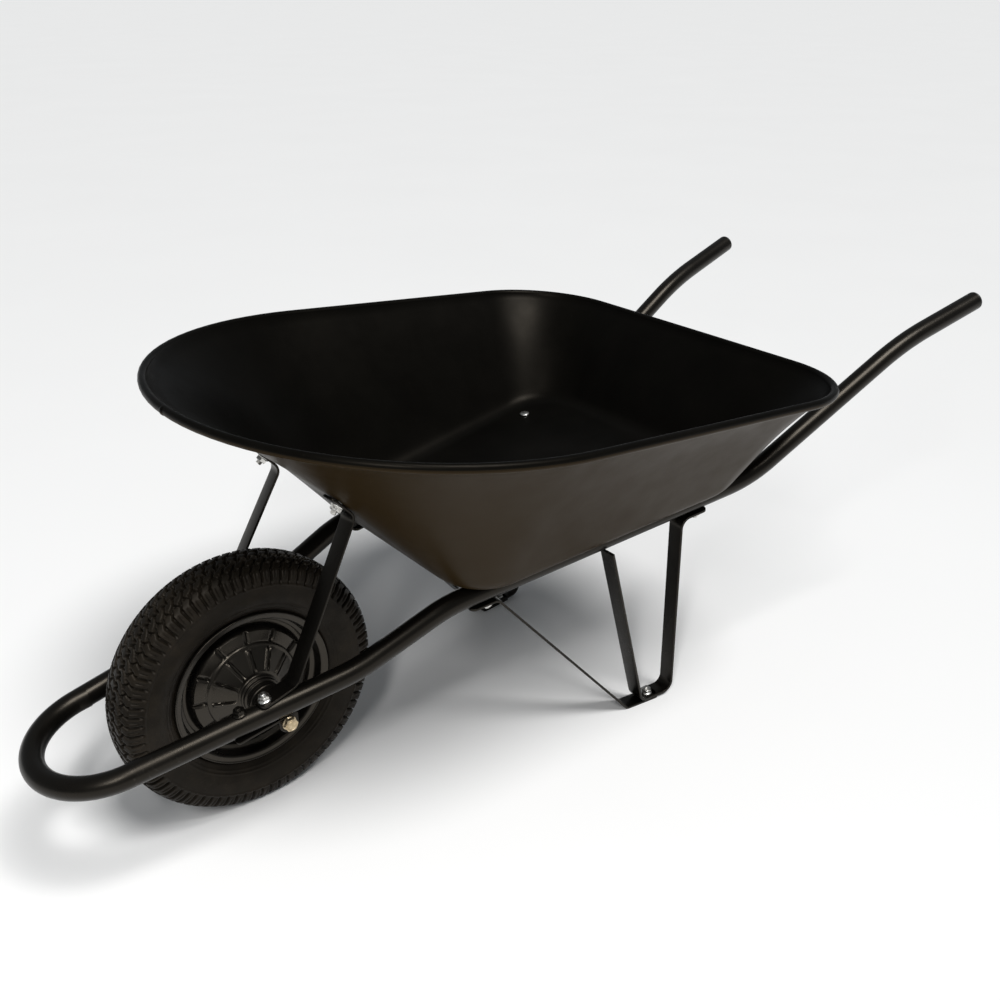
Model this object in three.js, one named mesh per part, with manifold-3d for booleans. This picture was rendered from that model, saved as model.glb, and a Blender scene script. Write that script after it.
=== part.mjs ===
// A single-wheel garden and site wheelbarrow, in millimetres, +Z up, handles towards +X.
// The design is laid out with the wheel axle over X = 0, then moved so that the origin is
// the middle of the footprint box, on the ground.

import * as THREE from 'three';
import { mergeVertices } from 'three/addons/utils/BufferGeometryUtils.js';
import Module from 'manifold-3d';

const wasm = await Module();
wasm.setup();

// ---- driving dimensions -------------------------------------------------------------------

const GAP = 0.3; // between pieces that touch

// Frame tube: one bent tube whose two sides splay apart in plan from a round nose.
const TUBE_R = 14.3;
const TUBE_BORE_R = 12.8;
const TUBE_SIDES = 12;
const AXLE_HALF = 112.2; // half the spacing of the tube centres over the axle
const SPLAY = 0.1233; // growth of that half spacing per millimetre towards the handles
const NOSE_CENTRE_X = -176.7;
const NOSE_STEPS = 12;
const BEND_STEPS = 2;
const RAMP_FOOT = [94, 214.65]; // side view bends of the tube centre, as [x, z]
const TRAY_FRONT_BEND = [223, 266.79];
const TRAY_REAR_BEND = [722, 327.6];
const GRIP_BEND = [1014, 483];
const HANDLE_END = [1168, 525];
const BEND_RADII = [190, 190, 230, 450]; // of the four bends above, front to back
const NOSE_RISE = 0.151; // slope of the nose and the wheel stretch
const CAP_HEAD = 4;
const CAP_EDGE = 2; // bevel round the cap's outer face
const CAP_STEM = 22;
const CAP_STEM_SLACK = 0.5; // the stem is this much smaller in radius than the bore
const CAP_SIDES = 20;

// Tray: a deep-drawn pan between a tilted floor outline and a rim outline.
const SHEET = 1.2;
const BEAD_R = 6;
const BEAD_STEPS = 6;
const BEAD_SWEEP = Math.PI * 1.25;
const FLOOR = { front: 236, rear: 700, frontHalf: 182, rearHalf: 236, frontR: 60, rearR: 80 };
const RIM = { front: -50, rear: 794, frontHalf: 336, rearHalf: 336, frontR: 335.5, rearR: 137 };
const RIM_Z_AT = [440, 512.6]; // [x, z] of a point in the rim plane
const RIM_RISE = -0.0864; // slope of the rim plane towards the handles
const FLARE = 0.16; // part of the wall's run taken up by the lip near the rim
const FLARE_POWER = 4;
const FLOOR_BLEND = 22; // radius-like run of the floor's edge curve
const BLEND_STEPS = 4;
const WALL_START = 0.12; // share of the wall's height where the floor's edge curve ends
const CORNER_STEPS = 6;
const WALL_STEPS = 4;
const TRAY_BOLT_X = [277, 622];

// Wheel.
const WHEEL_R = 175;
const WHEEL_SEGMENTS = 32;
const TYRE_TREAD = [[WHEEL_R, 14], [172.5, 26], [165, 34]]; // one half section, as [radius, y]
const TYRE_SIDEWALL = [[152, 38], [135, 37.5], [118, 33], [108, 27.2]];
const TYRE_LINING = [[104, 15.5], [112, 24], [128, 30.5], [150, 31.5], [162, 26], [166.5, 10]];
const TYRE_TOE = [24.4, 15.5]; // y where the tyre's foot meets the flange, and where it ends
const RIM_FLANGE_R = 106;
const BEAD_SEAT_R = 98.6;
const RIM_WELL_R = 88;
const RIM_OUTSIDE = [[RIM_FLANGE_R, 28.5], [RIM_FLANGE_R, 25], [BEAD_SEAT_R, 25], [BEAD_SEAT_R, 14],
  [RIM_WELL_R + 2, 10]];
const RIM_INSIDE = [[RIM_WELL_R, 11], [96.6, 15], [96.6, 27], [104, 28.5]];
const DISC_EDGE_R = RIM_WELL_R - GAP;
const DISC_OUTSIDE = [[DISC_EDGE_R, 1], [DISC_EDGE_R, 9], [58, 17]];
const DISC_INSIDE = [[57, 14], [DISC_EDGE_R - 5, 1]];
const DISC_NECK = { high: 40, low: 37 };
const INNER_TUBE = { r: 133, half: 26, wide: 23, steps: 10 };
const HUB_R = 22;
const HUB_HALF = 80;
const HUB_BORE_R = 13;
const BEARING_R = 16;
const BEARING_W = 11;
const BEARING_END_PLAY = 0.6;
const AXLE_R = 5.6;
const SPACER_R = 7.3;
const AXLE_CLEAR = 0.4;
const LUG_Y = 116; // middle of the bracket's lug
const LUG_T = 4;
const LUG_R = 12.8;
const FLANGE_W = 30; // the bracket's flange under the tube
const FLANGE_END = 13; // its reach past the front bolt, and past the axle
const AXLE_HEAD_T = 6.5;
const AXLE_HEAD_ACROSS = 18;
const AXLE_TIP = 4;
const AXLE_SIDES = 20;
const HUB_SIDES = 24;
const VALVE = { angle: 2.2, lean: 0.465, r: 108, y: 2, root: 4.5, length: 40 };
const VALVE_STEM_R = 3.2;
const VALVE_CAP = { r: 4.2, length: 9 };

// Flat bar: legs, leg straps and front braces.
const LEG = { width: 26, thick: 4, bend: 16 };
const STRAP = { width: 25, thick: 3.6, bend: 10 };
const BRACE = { width: 24, thick: 3.2, bend: 14 };
const FOOT_BOLT_X = 558;
const LEG_FRONT_TURN = 0.1; // the front arm turns outwards in plan, about the foot bolt
const LEG_FRONT_FOOT = 20; // from the foot bolt to the front arm's bend, along that arm
const LEG_FRONT_TOP = 94;
const LEG_FRONT_DROP = 1.6; // of the arm's middle below the tube
const LEG_REAR_X = 596;
const LEG_REAR_LEAN = 4;
const LEG_TAB_END_X = 638;
const STRAP_TAB_X = [252, 291];
const STRAP_KNEE_X = 514;
const STRAP_END = 15; // past the foot bolt
const BRACE_FOOT = { x: -22, y: 109.5, front: 13, rear: 38, lift: 0.6 };
const BRACE_TOP = { x: 101.8, y: 92.5, z: 427.6, below: 24, above: 22, lean: 0.8163 };
const BRACE_WALL_GAP = 2.4;
const BRACE_HEAD_GAP = 1.8; // the wall curves away from the bolt's head
const BRACE_TIP = 5;

// Fasteners.
const BOLT_R = 4;
const BOLT_CLEAR = 0.4;
const BOLT_SIDES = 10;
const NUT_ACROSS = 13;
const NUT_T = 6.5;
const BOLT_TIP = 3; // shank past the nut
const HOLE_REACH = 60; // half the length of a drill cutter
const WALL_HOLE_REACH = 30;
const PAN_R = 8;
const PAN_T = 3.2;
const PAN_SIDES = 16;
const BRACKET_PAN = { headRadius: 6, headHeight: 2.6 };
const BRACE_PAN = { headRadius: 7 };
const BRACKET_BOLT_X = [-54, -22];
const BRACKET_T = 3;
const BRACKET_HEAD_GAP = 0.7;
const SINK_R = 7.6; // countersunk head of the foot bolt
const SINK_DEPTH = 3.2;
const SINK_CLEAR = 0.4;

const BLACK = 0x141414;
const ZINC = 0xb9b7ae;
const YELLOW_ZINC = 0xc0a45c;

// ---- materials ----------------------------------------------------------------------------

const powderCoat = (colour = BLACK) => (
  new THREE.MeshStandardMaterial({ color: colour, roughness: 0.42, metalness: 0.1 })
);
const plated = (colour = ZINC) => (
  new THREE.MeshStandardMaterial({ color: colour, roughness: 0.3, metalness: 1 })
);
const rubber = () => new THREE.MeshStandardMaterial({ color: 0x1b1b1b, roughness: 0.85, metalness: 0 });
const plastic = () => new THREE.MeshStandardMaterial({ color: 0x101010, roughness: 0.5, metalness: 0 });

// ---- helpers ------------------------------------------------------------------------------

const group = new THREE.Group();
const sides = [['left', -1], ['right', 1]]; // left is -Y

function place(name, geometry, material, parent = group) {
  const mesh = new THREE.Mesh(geometry, material);
  mesh.name = name;
  parent.add(mesh);
  return mesh;
}

// Turns a closed three.js geometry into a manifold-3d solid.
function solid(geometry) {
  const bare = geometry.clone();
  bare.deleteAttribute('normal');
  bare.deleteAttribute('uv');
  const welded = mergeVertices(bare, 1e-4);
  const index = welded.index.array;
  const kept = [];
  for (let i = 0; i < index.length; i += 3) {
    const [a, b, c] = [index[i], index[i + 1], index[i + 2]];
    if (a !== b && b !== c && c !== a) kept.push(a, b, c);
  }
  return new wasm.Manifold(new wasm.Mesh({
    numProp: 3,
    vertProperties: Float32Array.from(welded.attributes.position.array),
    triVerts: Uint32Array.from(kept),
  }));
}

function geometryOf(manifold) {
  const mesh = manifold.getMesh();
  const geometry = new THREE.BufferGeometry();
  geometry.setAttribute('position', new THREE.BufferAttribute(mesh.vertProperties, 3));
  geometry.setIndex(new THREE.BufferAttribute(mesh.triVerts, 1));
  geometry.computeVertexNormals();
  return geometry;
}

// A cylinder along Z from bottom to top.
function post(radius, bottom, top, sideCount = BOLT_SIDES) {
  const geometry = new THREE.CylinderGeometry(radius, radius, top - bottom, sideCount);
  geometry.rotateX(Math.PI / 2);
  geometry.translate(0, 0, (top + bottom) / 2);
  return geometry;
}

// A ring of revolution about Y through (0, 0, WHEEL_R): the profile is [radius, y] pairs.
// Its direction round the section is made the one that turns the faces outwards.
function turned(profile, segments = WHEEL_SEGMENTS) {
  const points = profile.map(([radius, y]) => new THREE.Vector2(radius, y));
  if (THREE.ShapeUtils.area(points) < 0) points.reverse();
  const geometry = new THREE.LatheGeometry(points, segments);
  geometry.translate(0, 0, WHEEL_R);
  return geometry;
}

function hexShape(across, holeRadius = 0) {
  const corner = across / Math.sqrt(3);
  const shape = new THREE.Shape();
  for (let i = 0; i < 6; i += 1) {
    const angle = (i * Math.PI) / 3;
    const method = i === 0 ? 'moveTo' : 'lineTo';
    shape[method](corner * Math.cos(angle), corner * Math.sin(angle));
  }
  shape.closePath();
  if (holeRadius > 0) {
    const hole = new THREE.Path();
    hole.absarc(0, 0, holeRadius, 0, 2 * Math.PI, true);
    shape.holes.push(hole);
  }
  return shape;
}

// A hexagon nut from z = 0 up.
function nutGeometry(across, height, holeRadius) {
  return new THREE.ExtrudeGeometry(hexShape(across, holeRadius), {
    depth: height, bevelEnabled: false, curveSegments: BOLT_SIDES / 2,
  });
}

const boltNut = () => nutGeometry(NUT_ACROSS, NUT_T, BOLT_R + BOLT_CLEAR);

// A bolt whose head sits on z = 0 and whose shank goes down to z = -length.
function boltGeometry(length, options = {}) {
  const { hex = 0, headRadius = PAN_R, headHeight = PAN_T, radius = BOLT_R } = options;
  const head = hex
    ? new THREE.ExtrudeGeometry(hexShape(hex), { depth: headHeight, bevelEnabled: false })
    : post(headRadius, 0, headHeight, PAN_SIDES);
  return geometryOf(solid(head).add(solid(post(radius, -length, headHeight / 2))));
}

// ---- frame tube ---------------------------------------------------------------------------

const lineThrough = ([x0, z0], [x1, z1]) => (x) => z0 + ((z1 - z0) * (x - x0)) / (x1 - x0);
const noseZ = (x) => RAMP_FOOT[1] + NOSE_RISE * (x - RAMP_FOOT[0]);
const underTrayZ = lineThrough(TRAY_FRONT_BEND, TRAY_REAR_BEND);
const halfSpacing = (x) => AXLE_HALF + SPLAY * x;
const trayPitch = Math.atan(underTrayZ(1) - underTrayZ(0));
const nosePitch = Math.atan(NOSE_RISE);
const splayAngle = Math.atan(SPLAY);
const noseRadius = halfSpacing(NOSE_CENTRE_X) * Math.cos(splayAngle);

// Points and directions along a run of corners, each rounded with its own bend radius.
function roundedRun(corners, radii) {
  const stations = [];
  const first = new THREE.Vector3().subVectors(corners[1], corners[0]).normalize();
  stations.push({ point: corners[0], tangent: first });
  for (let i = 1; i < corners.length - 1; i += 1) {
    const into = new THREE.Vector3().subVectors(corners[i], corners[i - 1]).normalize();
    const away = new THREE.Vector3().subVectors(corners[i + 1], corners[i]).normalize();
    const turn = into.angleTo(away);
    const radius = radii[i - 1];
    const reach = radius * Math.tan(turn / 2);
    for (let k = 0; k <= BEND_STEPS; k += 1) {
      const swept = (turn * k) / BEND_STEPS;
      const tangent = into.clone().multiplyScalar(Math.sin(turn - swept))
        .addScaledVector(away, Math.sin(swept)).normalize();
      const across = away.clone().addScaledVector(into, -Math.cos(turn)).normalize();
      const point = corners[i].clone().addScaledVector(into, -reach)
        .addScaledVector(into, radius * Math.sin(swept))
        .addScaledVector(across, radius * (1 - Math.cos(swept)));
      stations.push({ point, tangent });
    }
  }
  const last = corners.length - 1;
  const end = new THREE.Vector3().subVectors(corners[last], corners[last - 1]).normalize();
  stations.push({ point: corners[last], tangent: end });
  return stations;
}

// One side of the frame, from the nose tangent point to the handle end.
function sideStations(side) {
  const noseEndX = NOSE_CENTRE_X - noseRadius * Math.sin(splayAngle);
  const side3 = (x, z) => new THREE.Vector3(x, side * halfSpacing(x), z);
  return roundedRun([
    side3(noseEndX, noseZ(noseEndX)),
    side3(...RAMP_FOOT),
    side3(...TRAY_FRONT_BEND),
    side3(...TRAY_REAR_BEND),
    side3(...GRIP_BEND),
    side3(...HANDLE_END),
  ], BEND_RADII);
}

function noseStations() {
  const stations = [];
  const half = Math.PI / 2 + splayAngle;
  for (let k = 1; k < NOSE_STEPS; k += 1) {
    const angle = -half + (2 * half * k) / NOSE_STEPS;
    const x = NOSE_CENTRE_X - noseRadius * Math.cos(angle);
    const dx = noseRadius * Math.sin(angle);
    const point = new THREE.Vector3(x, noseRadius * Math.sin(angle), noseZ(x));
    const tangent = new THREE.Vector3(dx, noseRadius * Math.cos(angle), NOSE_RISE * dx).normalize();
    stations.push({ point, tangent });
  }
  return stations;
}

// A curve that an extrusion samples exactly at its stations.
class StationCurve extends THREE.Curve {
  constructor(stations) {
    super();
    this.stations = stations;
  }

  at(u) {
    return this.stations[Math.round(u * (this.stations.length - 1))];
  }

  getPointAt(u, target = new THREE.Vector3()) {
    return target.copy(this.at(u).point);
  }

  getTangentAt(u, target = new THREE.Vector3()) {
    return target.copy(this.at(u).tangent);
  }
}

function frameTube() {
  const left = sideStations(-1).reverse()
    .map(({ point, tangent }) => ({ point, tangent: tangent.clone().negate() }));
  const stations = [...left, ...noseStations(), ...sideStations(1)];
  const ring = new THREE.Shape();
  ring.absarc(0, 0, TUBE_R, 0, 2 * Math.PI, false);
  const bore = new THREE.Path();
  bore.absarc(0, 0, TUBE_BORE_R, 0, 2 * Math.PI, true);
  ring.holes.push(bore);
  const tube = solid(new THREE.ExtrudeGeometry(ring, {
    steps: stations.length - 1,
    extrudePath: new StationCurve(stations),
    curveSegments: TUBE_SIDES / 2,
    bevelEnabled: false,
  }));
  let drilled = tube;
  for (const [, side] of sides) {
    for (const x of TRAY_BOLT_X) drilled = drilled.subtract(boltHole(trayBoltSeat(x, side)));
    for (const x of BRACKET_BOLT_X) drilled = drilled.subtract(boltHole(bracketBoltSeat(x, side)));
  }
  place('frame_tube', geometryOf(drilled), powderCoat());
}

// ---- bolt seats: frames on the tube's centre line, local Z square to the tube ---------------

function seat(x, y, z, pitch) {
  const holder = new THREE.Group();
  holder.position.set(x, y, z);
  holder.rotation.y = -pitch;
  holder.updateMatrix();
  return holder;
}

const trayBoltSeat = (x, side) => seat(x, side * halfSpacing(x), underTrayZ(x), trayPitch);
const bracketBoltSeat = (x, side) => seat(x, side * halfSpacing(x), noseZ(x), nosePitch);

function boltHole(holder) {
  return drill(holder.matrix, HOLE_REACH);
}

function drill(matrix, reach) {
  const cutter = post(BOLT_R + BOLT_CLEAR, -reach, reach);
  cutter.applyMatrix4(matrix);
  return solid(cutter);
}

function handleCaps() {
  for (const [label, side] of sides) {
    const end = sideStations(side).at(-1);
    const stemR = TUBE_BORE_R - CAP_STEM_SLACK;
    const profile = [[0, -CAP_STEM], [stemR, -CAP_STEM], [stemR, GAP], [TUBE_R, GAP],
      [TUBE_R, CAP_HEAD - CAP_EDGE], [TUBE_R - CAP_EDGE, CAP_HEAD], [0, CAP_HEAD]];
    const geometry = new THREE.LatheGeometry(profile.map(([r, y]) => new THREE.Vector2(r, y)), CAP_SIDES);
    const cap = place(`handle_cap_${label}`, geometry, plastic());
    cap.position.copy(end.point);
    cap.quaternion.setFromUnitVectors(new THREE.Vector3(0, 1, 0), end.tangent);
  }
}

// ---- tray ---------------------------------------------------------------------------------

const trayFloorZ = (x) => underTrayZ(x) + (TUBE_R + GAP) / Math.cos(trayPitch);
const rimZ = (x) => RIM_Z_AT[1] + RIM_RISE * (x - RIM_Z_AT[0]);

// A loop of plan points round a trapezoid with rounded corners, the same count for any size.
function outline({ front, rear, frontHalf, rearHalf, frontR, rearR }) {
  const corners = [
    { x: rear, y: rearHalf, r: rearR }, { x: front, y: frontHalf, r: frontR },
    { x: front, y: -frontHalf, r: frontR }, { x: rear, y: -rearHalf, r: rearR },
  ];
  const loop = [];
  corners.forEach((corner, i) => {
    const before = corners[(i + 3) % 4];
    const after = corners[(i + 1) % 4];
    const into = new THREE.Vector2(corner.x - before.x, corner.y - before.y).normalize();
    const away = new THREE.Vector2(after.x - corner.x, after.y - corner.y).normalize();
    const turn = Math.abs(into.angleTo(away));
    const swing = Math.min(turn, 2 * Math.PI - turn);
    const reach = corner.r * Math.tan(swing / 2);
    const left = new THREE.Vector2(-into.y, into.x);
    for (let k = 0; k <= CORNER_STEPS; k += 1) {
      const swept = (swing * k) / CORNER_STEPS;
      loop.push(new THREE.Vector2(corner.x, corner.y).addScaledVector(into, -reach)
        .addScaledVector(into, corner.r * Math.sin(swept))
        .addScaledVector(left, corner.r * (1 - Math.cos(swept))));
    }
    const next = new THREE.Vector2(after.x, after.y);
    const afterReach = after.r * Math.tan(swing / 2);
    const start = new THREE.Vector2(corner.x, corner.y).addScaledVector(away, reach);
    const stop = next.addScaledVector(away, -afterReach);
    loop.push(start.clone().lerp(stop, 1 / 3), start.clone().lerp(stop, 2 / 3));
  });
  return loop;
}

const floorLoop = outline(FLOOR);
const rimLoop = outline(RIM);

// The wall's outer face at loop place k and height share t.
function wallPoint(k, t) {
  const run = (1 - FLARE) * t + FLARE * t ** FLARE_POWER;
  const a = floorLoop[k];
  const b = rimLoop[k];
  const low = trayFloorZ(a.x);
  return new THREE.Vector3(a.x + (b.x - a.x) * run, a.y + (b.y - a.y) * run, low + (rimZ(b.x) - low) * t);
}

// The rows of one section: floor, edge curve, wall, bead, and back down the inner face.
function traySection(k) {
  const centre = new THREE.Vector3((FLOOR.front + FLOOR.rear) / 2, 0, 0);
  const edge = wallPoint(k, 0);
  const inward = centre.clone().setZ(edge.z).sub(edge).normalize();
  const inset = edge.clone().addScaledVector(inward, FLOOR_BLEND);
  inset.z = trayFloorZ(inset.x);
  const rise = wallPoint(k, WALL_START);
  const outer = [inset];
  for (let i = 1; i < BLEND_STEPS; i += 1) {
    const s = i / BLEND_STEPS;
    outer.push(inset.clone().multiplyScalar((1 - s) ** 2)
      .addScaledVector(edge, 2 * s * (1 - s)).addScaledVector(rise, s * s));
  }
  for (let i = 0; i <= WALL_STEPS; i += 1) {
    outer.push(wallPoint(k, WALL_START + ((1 - WALL_START) * i) / WALL_STEPS));
  }
  const radial = edge.clone().sub(wallPoint(k, 1)).setZ(0).normalize().negate();
  const up = new THREE.Vector3(0, 0, 1);
  const inner = outer.map((point, i) => {
    const ahead = outer[Math.min(i + 1, outer.length - 1)];
    const behind = outer[Math.max(i - 1, 0)];
    const along = ahead.clone().sub(behind);
    const slope = Math.atan2(along.z, along.dot(radial));
    return point.clone().addScaledVector(radial, -SHEET * Math.sin(slope))
      .addScaledVector(up, SHEET * Math.cos(slope));
  });
  const top = inner.at(-1);
  const bead = [];
  for (let i = 0; i <= BEAD_STEPS; i += 1) {
    const angle = Math.PI - (i * BEAD_SWEEP) / BEAD_STEPS;
    bead.push(top.clone().addScaledVector(radial, BEAD_R * (1 + Math.cos(angle)))
      .addScaledVector(up, BEAD_R * Math.sin(angle)));
  }
  inner[0].z = trayFloorZ(inner[0].x) + SHEET;
  return [...outer.slice(0, -1), ...bead.reverse(), ...inner.reverse().slice(1)];
}

function tray() {
  const count = floorLoop.length;
  const sections = floorLoop.map((_, k) => traySection(k));
  const rows = sections[0].length;
  const mid = (FLOOR.front + FLOOR.rear) / 2;
  const profile = [];
  for (let j = -1; j <= rows; j += 1) {
    profile.push(new THREE.Vector2(j < 0 || j === rows ? 0 : 1, j));
  }
  const geometry = new THREE.LatheGeometry(profile, count);
  const position = geometry.attributes.position;
  for (let i = 0; i <= count; i += 1) {
    for (let j = 0; j < profile.length; j += 1) {
      const at = i * profile.length + j;
      const row = j - 1;
      if (row < 0) position.setXYZ(at, mid, 0, trayFloorZ(mid));
      else if (row === rows) position.setXYZ(at, mid, 0, trayFloorZ(mid) + SHEET);
      else position.setXYZ(at, ...sections[i % count][row].toArray());
    }
  }
  let shell = solid(geometry);
  for (const [, side] of sides) {
    for (const x of TRAY_BOLT_X) shell = shell.subtract(boltHole(trayBoltSeat(x, side)));
    shell = shell.subtract(drill(braceTopFrame(side), WALL_HOLE_REACH));
  }
  place('tray', geometryOf(shell), powderCoat());
}

// ---- bent flat bar ------------------------------------------------------------------------

// A flat bar bent in its side plane: corners are [u, z] of its middle, extruded across.
function bentBar(corners, { width, thick, bend }) {
  const middle = [];
  const flat = corners.map(([u, z]) => new THREE.Vector2(u, z));
  const directions = flat.slice(1).map((point, i) => point.clone().sub(flat[i]).normalize());
  middle.push({ point: flat[0], direction: directions[0] });
  for (let i = 1; i < flat.length - 1; i += 1) {
    const into = directions[i - 1];
    const away = directions[i];
    const turn = Math.atan2(into.cross(away), into.dot(away));
    const reach = bend * Math.tan(Math.abs(turn) / 2);
    const normal = new THREE.Vector2(-into.y, into.x).multiplyScalar(Math.sign(turn));
    for (let k = 0; k <= BEND_STEPS; k += 1) {
      const swept = (Math.abs(turn) * k) / BEND_STEPS;
      const point = flat[i].clone().addScaledVector(into, bend * Math.sin(swept) - reach)
        .addScaledVector(normal, bend * (1 - Math.cos(swept)));
      const direction = into.clone().rotateAround(new THREE.Vector2(), Math.sign(turn) * swept);
      middle.push({ point, direction });
    }
  }
  middle.push({ point: flat.at(-1), direction: directions.at(-1) });
  const offset = (sign) => middle.map(({ point, direction }) => {
    const normal = new THREE.Vector2(-direction.y, direction.x);
    return point.clone().addScaledVector(normal, (sign * thick) / 2);
  });
  const shape = new THREE.Shape([...offset(1), ...offset(-1).reverse()]);
  const geometry = new THREE.ExtrudeGeometry(shape, { depth: width, bevelEnabled: false });
  geometry.translate(0, 0, -width / 2);
  geometry.rotateX(Math.PI / 2);
  return geometry;
}

// A group standing in the vertical plane of one side's tube; its u runs along the tube.
function tubePlane(side) {
  const holder = new THREE.Group();
  holder.position.set(0, side * AXLE_HALF, 0);
  holder.rotation.z = side * splayAngle;
  holder.updateMatrix();
  group.add(holder);
  return holder;
}

const alongTube = (x) => x / Math.cos(splayAngle);
const tubeUndersideZ = (x) => underTrayZ(x) - (TUBE_R + GAP) / Math.cos(trayPitch);

// Drills a body at each of the bolt frames.
function cutHoles(body, frames) {
  return frames.reduce((left, matrix) => left.subtract(drill(matrix, HOLE_REACH)), body);
}

const strapFootZ = STRAP.thick / 2;
const legFootZ = STRAP.thick + GAP + LEG.thick / 2;
const footBoltU = alongTube(FOOT_BOLT_X);

// The leg's front arm, in the tube's plane: a bar turned outwards about the foot bolt.
function frontArm(side) {
  const turn = -side * LEG_FRONT_TURN;
  const topX = FOOT_BOLT_X - LEG_FRONT_TOP * Math.cos(splayAngle - LEG_FRONT_TURN);
  const geometry = bentBar([
    [-LEG_FRONT_TOP, tubeUndersideZ(topX) - LEG_FRONT_DROP],
    [-LEG_FRONT_FOOT, legFootZ],
    [LEG.width / 2, legFootZ],
  ], LEG);
  geometry.rotateZ(turn);
  geometry.translate(footBoltU, 0, 0);
  return solid(geometry);
}

function legs() {
  for (const [label, side] of sides) {
    const plane = tubePlane(side);
    const local = new THREE.Matrix4().copy(plane.matrix).invert();
    const tabZ = (x) => tubeUndersideZ(x) - LEG.thick / 2;
    const rearTopX = LEG_REAR_X - LEG_REAR_LEAN;
    const rear = solid(bentBar([
      [footBoltU - LEG.width / 2, legFootZ],
      [alongTube(LEG_REAR_X), legFootZ],
      [alongTube(rearTopX), tabZ(rearTopX)],
      [alongTube(LEG_TAB_END_X), tabZ(LEG_TAB_END_X)],
    ], LEG));
    const bolt = local.clone().multiply(trayBoltSeat(TRAY_BOLT_X[1], side).matrix);
    const foot = new THREE.Matrix4().makeTranslation(footBoltU, 0, 0);
    const body = cutHoles(rear.add(frontArm(side)), [bolt, foot]);
    place(`leg_${label}`, geometryOf(body), powderCoat(), plane);
  }
}

function legStraps() {
  for (const [label, side] of sides) {
    const plane = tubePlane(side);
    const local = new THREE.Matrix4().copy(plane.matrix).invert();
    const tabZ = (x) => tubeUndersideZ(x) - STRAP.thick / 2;
    const corners = [
      [footBoltU + STRAP_END, strapFootZ],
      [alongTube(STRAP_KNEE_X), strapFootZ],
      [alongTube(STRAP_TAB_X[1]), tabZ(STRAP_TAB_X[1])],
      [alongTube(STRAP_TAB_X[0]), tabZ(STRAP_TAB_X[0])],
    ];
    const bolt = local.clone().multiply(trayBoltSeat(TRAY_BOLT_X[0], side).matrix);
    const foot = new THREE.Matrix4().makeTranslation(footBoltU, 0, 0);
    const drilled = cutHoles(solid(bentBar(corners, STRAP)), [bolt, foot]);
    const sink = new THREE.LatheGeometry(sinkCutter(), PAN_SIDES).rotateX(Math.PI / 2);
    sink.translate(footBoltU, 0, 0);
    place(`leg_strap_${label}`, geometryOf(drilled.subtract(solid(sink))), powderCoat(), plane);
  }
}

// ---- foot fasteners: a countersunk bolt flush with the ground face, nut on top --------------

// The countersink with clearance, reaching 1 mm below the ground face.
function sinkCutter() {
  const wide = SINK_R + SINK_CLEAR;
  const top = SINK_DEPTH + SINK_CLEAR;
  return [[0, -1], [wide, -1], [wide, 0], [BOLT_R + SINK_CLEAR, top], [0, top]]
    .map(([r, z]) => new THREE.Vector2(r, z));
}

function footFasteners() {
  const nutBase = legFootZ + LEG.thick / 2 + GAP;
  for (const [label, side] of sides) {
    const plane = tubePlane(side);
    const tip = nutBase + NUT_T + BOLT_TIP;
    const profile = [[0, 0], [SINK_R, 0], [BOLT_R, SINK_DEPTH], [BOLT_R, tip], [0, tip]];
    const bolt = new THREE.LatheGeometry(profile.map(([r, z]) => new THREE.Vector2(r, z)), PAN_SIDES);
    bolt.rotateX(Math.PI / 2);
    place(`foot_bolt_${label}`, bolt, plated(), plane).position.x = footBoltU;
    const nut = place(`foot_nut_${label}`, boltNut(), plated(), plane);
    nut.position.set(footBoltU, 0, nutBase);
  }
}

// ---- tray bolts: pan head inside the tray, through floor, tube and bar, nut below -----------

function trayFasteners() {
  const names = ['front', 'rear'];
  for (const [label, side] of sides) {
    TRAY_BOLT_X.forEach((x, i) => {
      const holder = trayBoltSeat(x, side);
      group.add(holder);
      const bar = i === 0 ? STRAP.thick : LEG.thick;
      const headZ = TUBE_R + GAP + SHEET + GAP;
      const nutTop = -(TUBE_R + GAP + bar + GAP);
      const length = headZ - nutTop + NUT_T + BOLT_TIP;
      const bolt = place(`tray_bolt_${names[i]}_${label}`, boltGeometry(length), plated(), holder);
      bolt.position.z = headZ;
      const nut = place(`tray_nut_${names[i]}_${label}`, boltNut(), plated(), holder);
      nut.position.z = nutTop - NUT_T;
    });
  }
}

// ---- axle brackets and their fasteners ------------------------------------------------------

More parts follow.
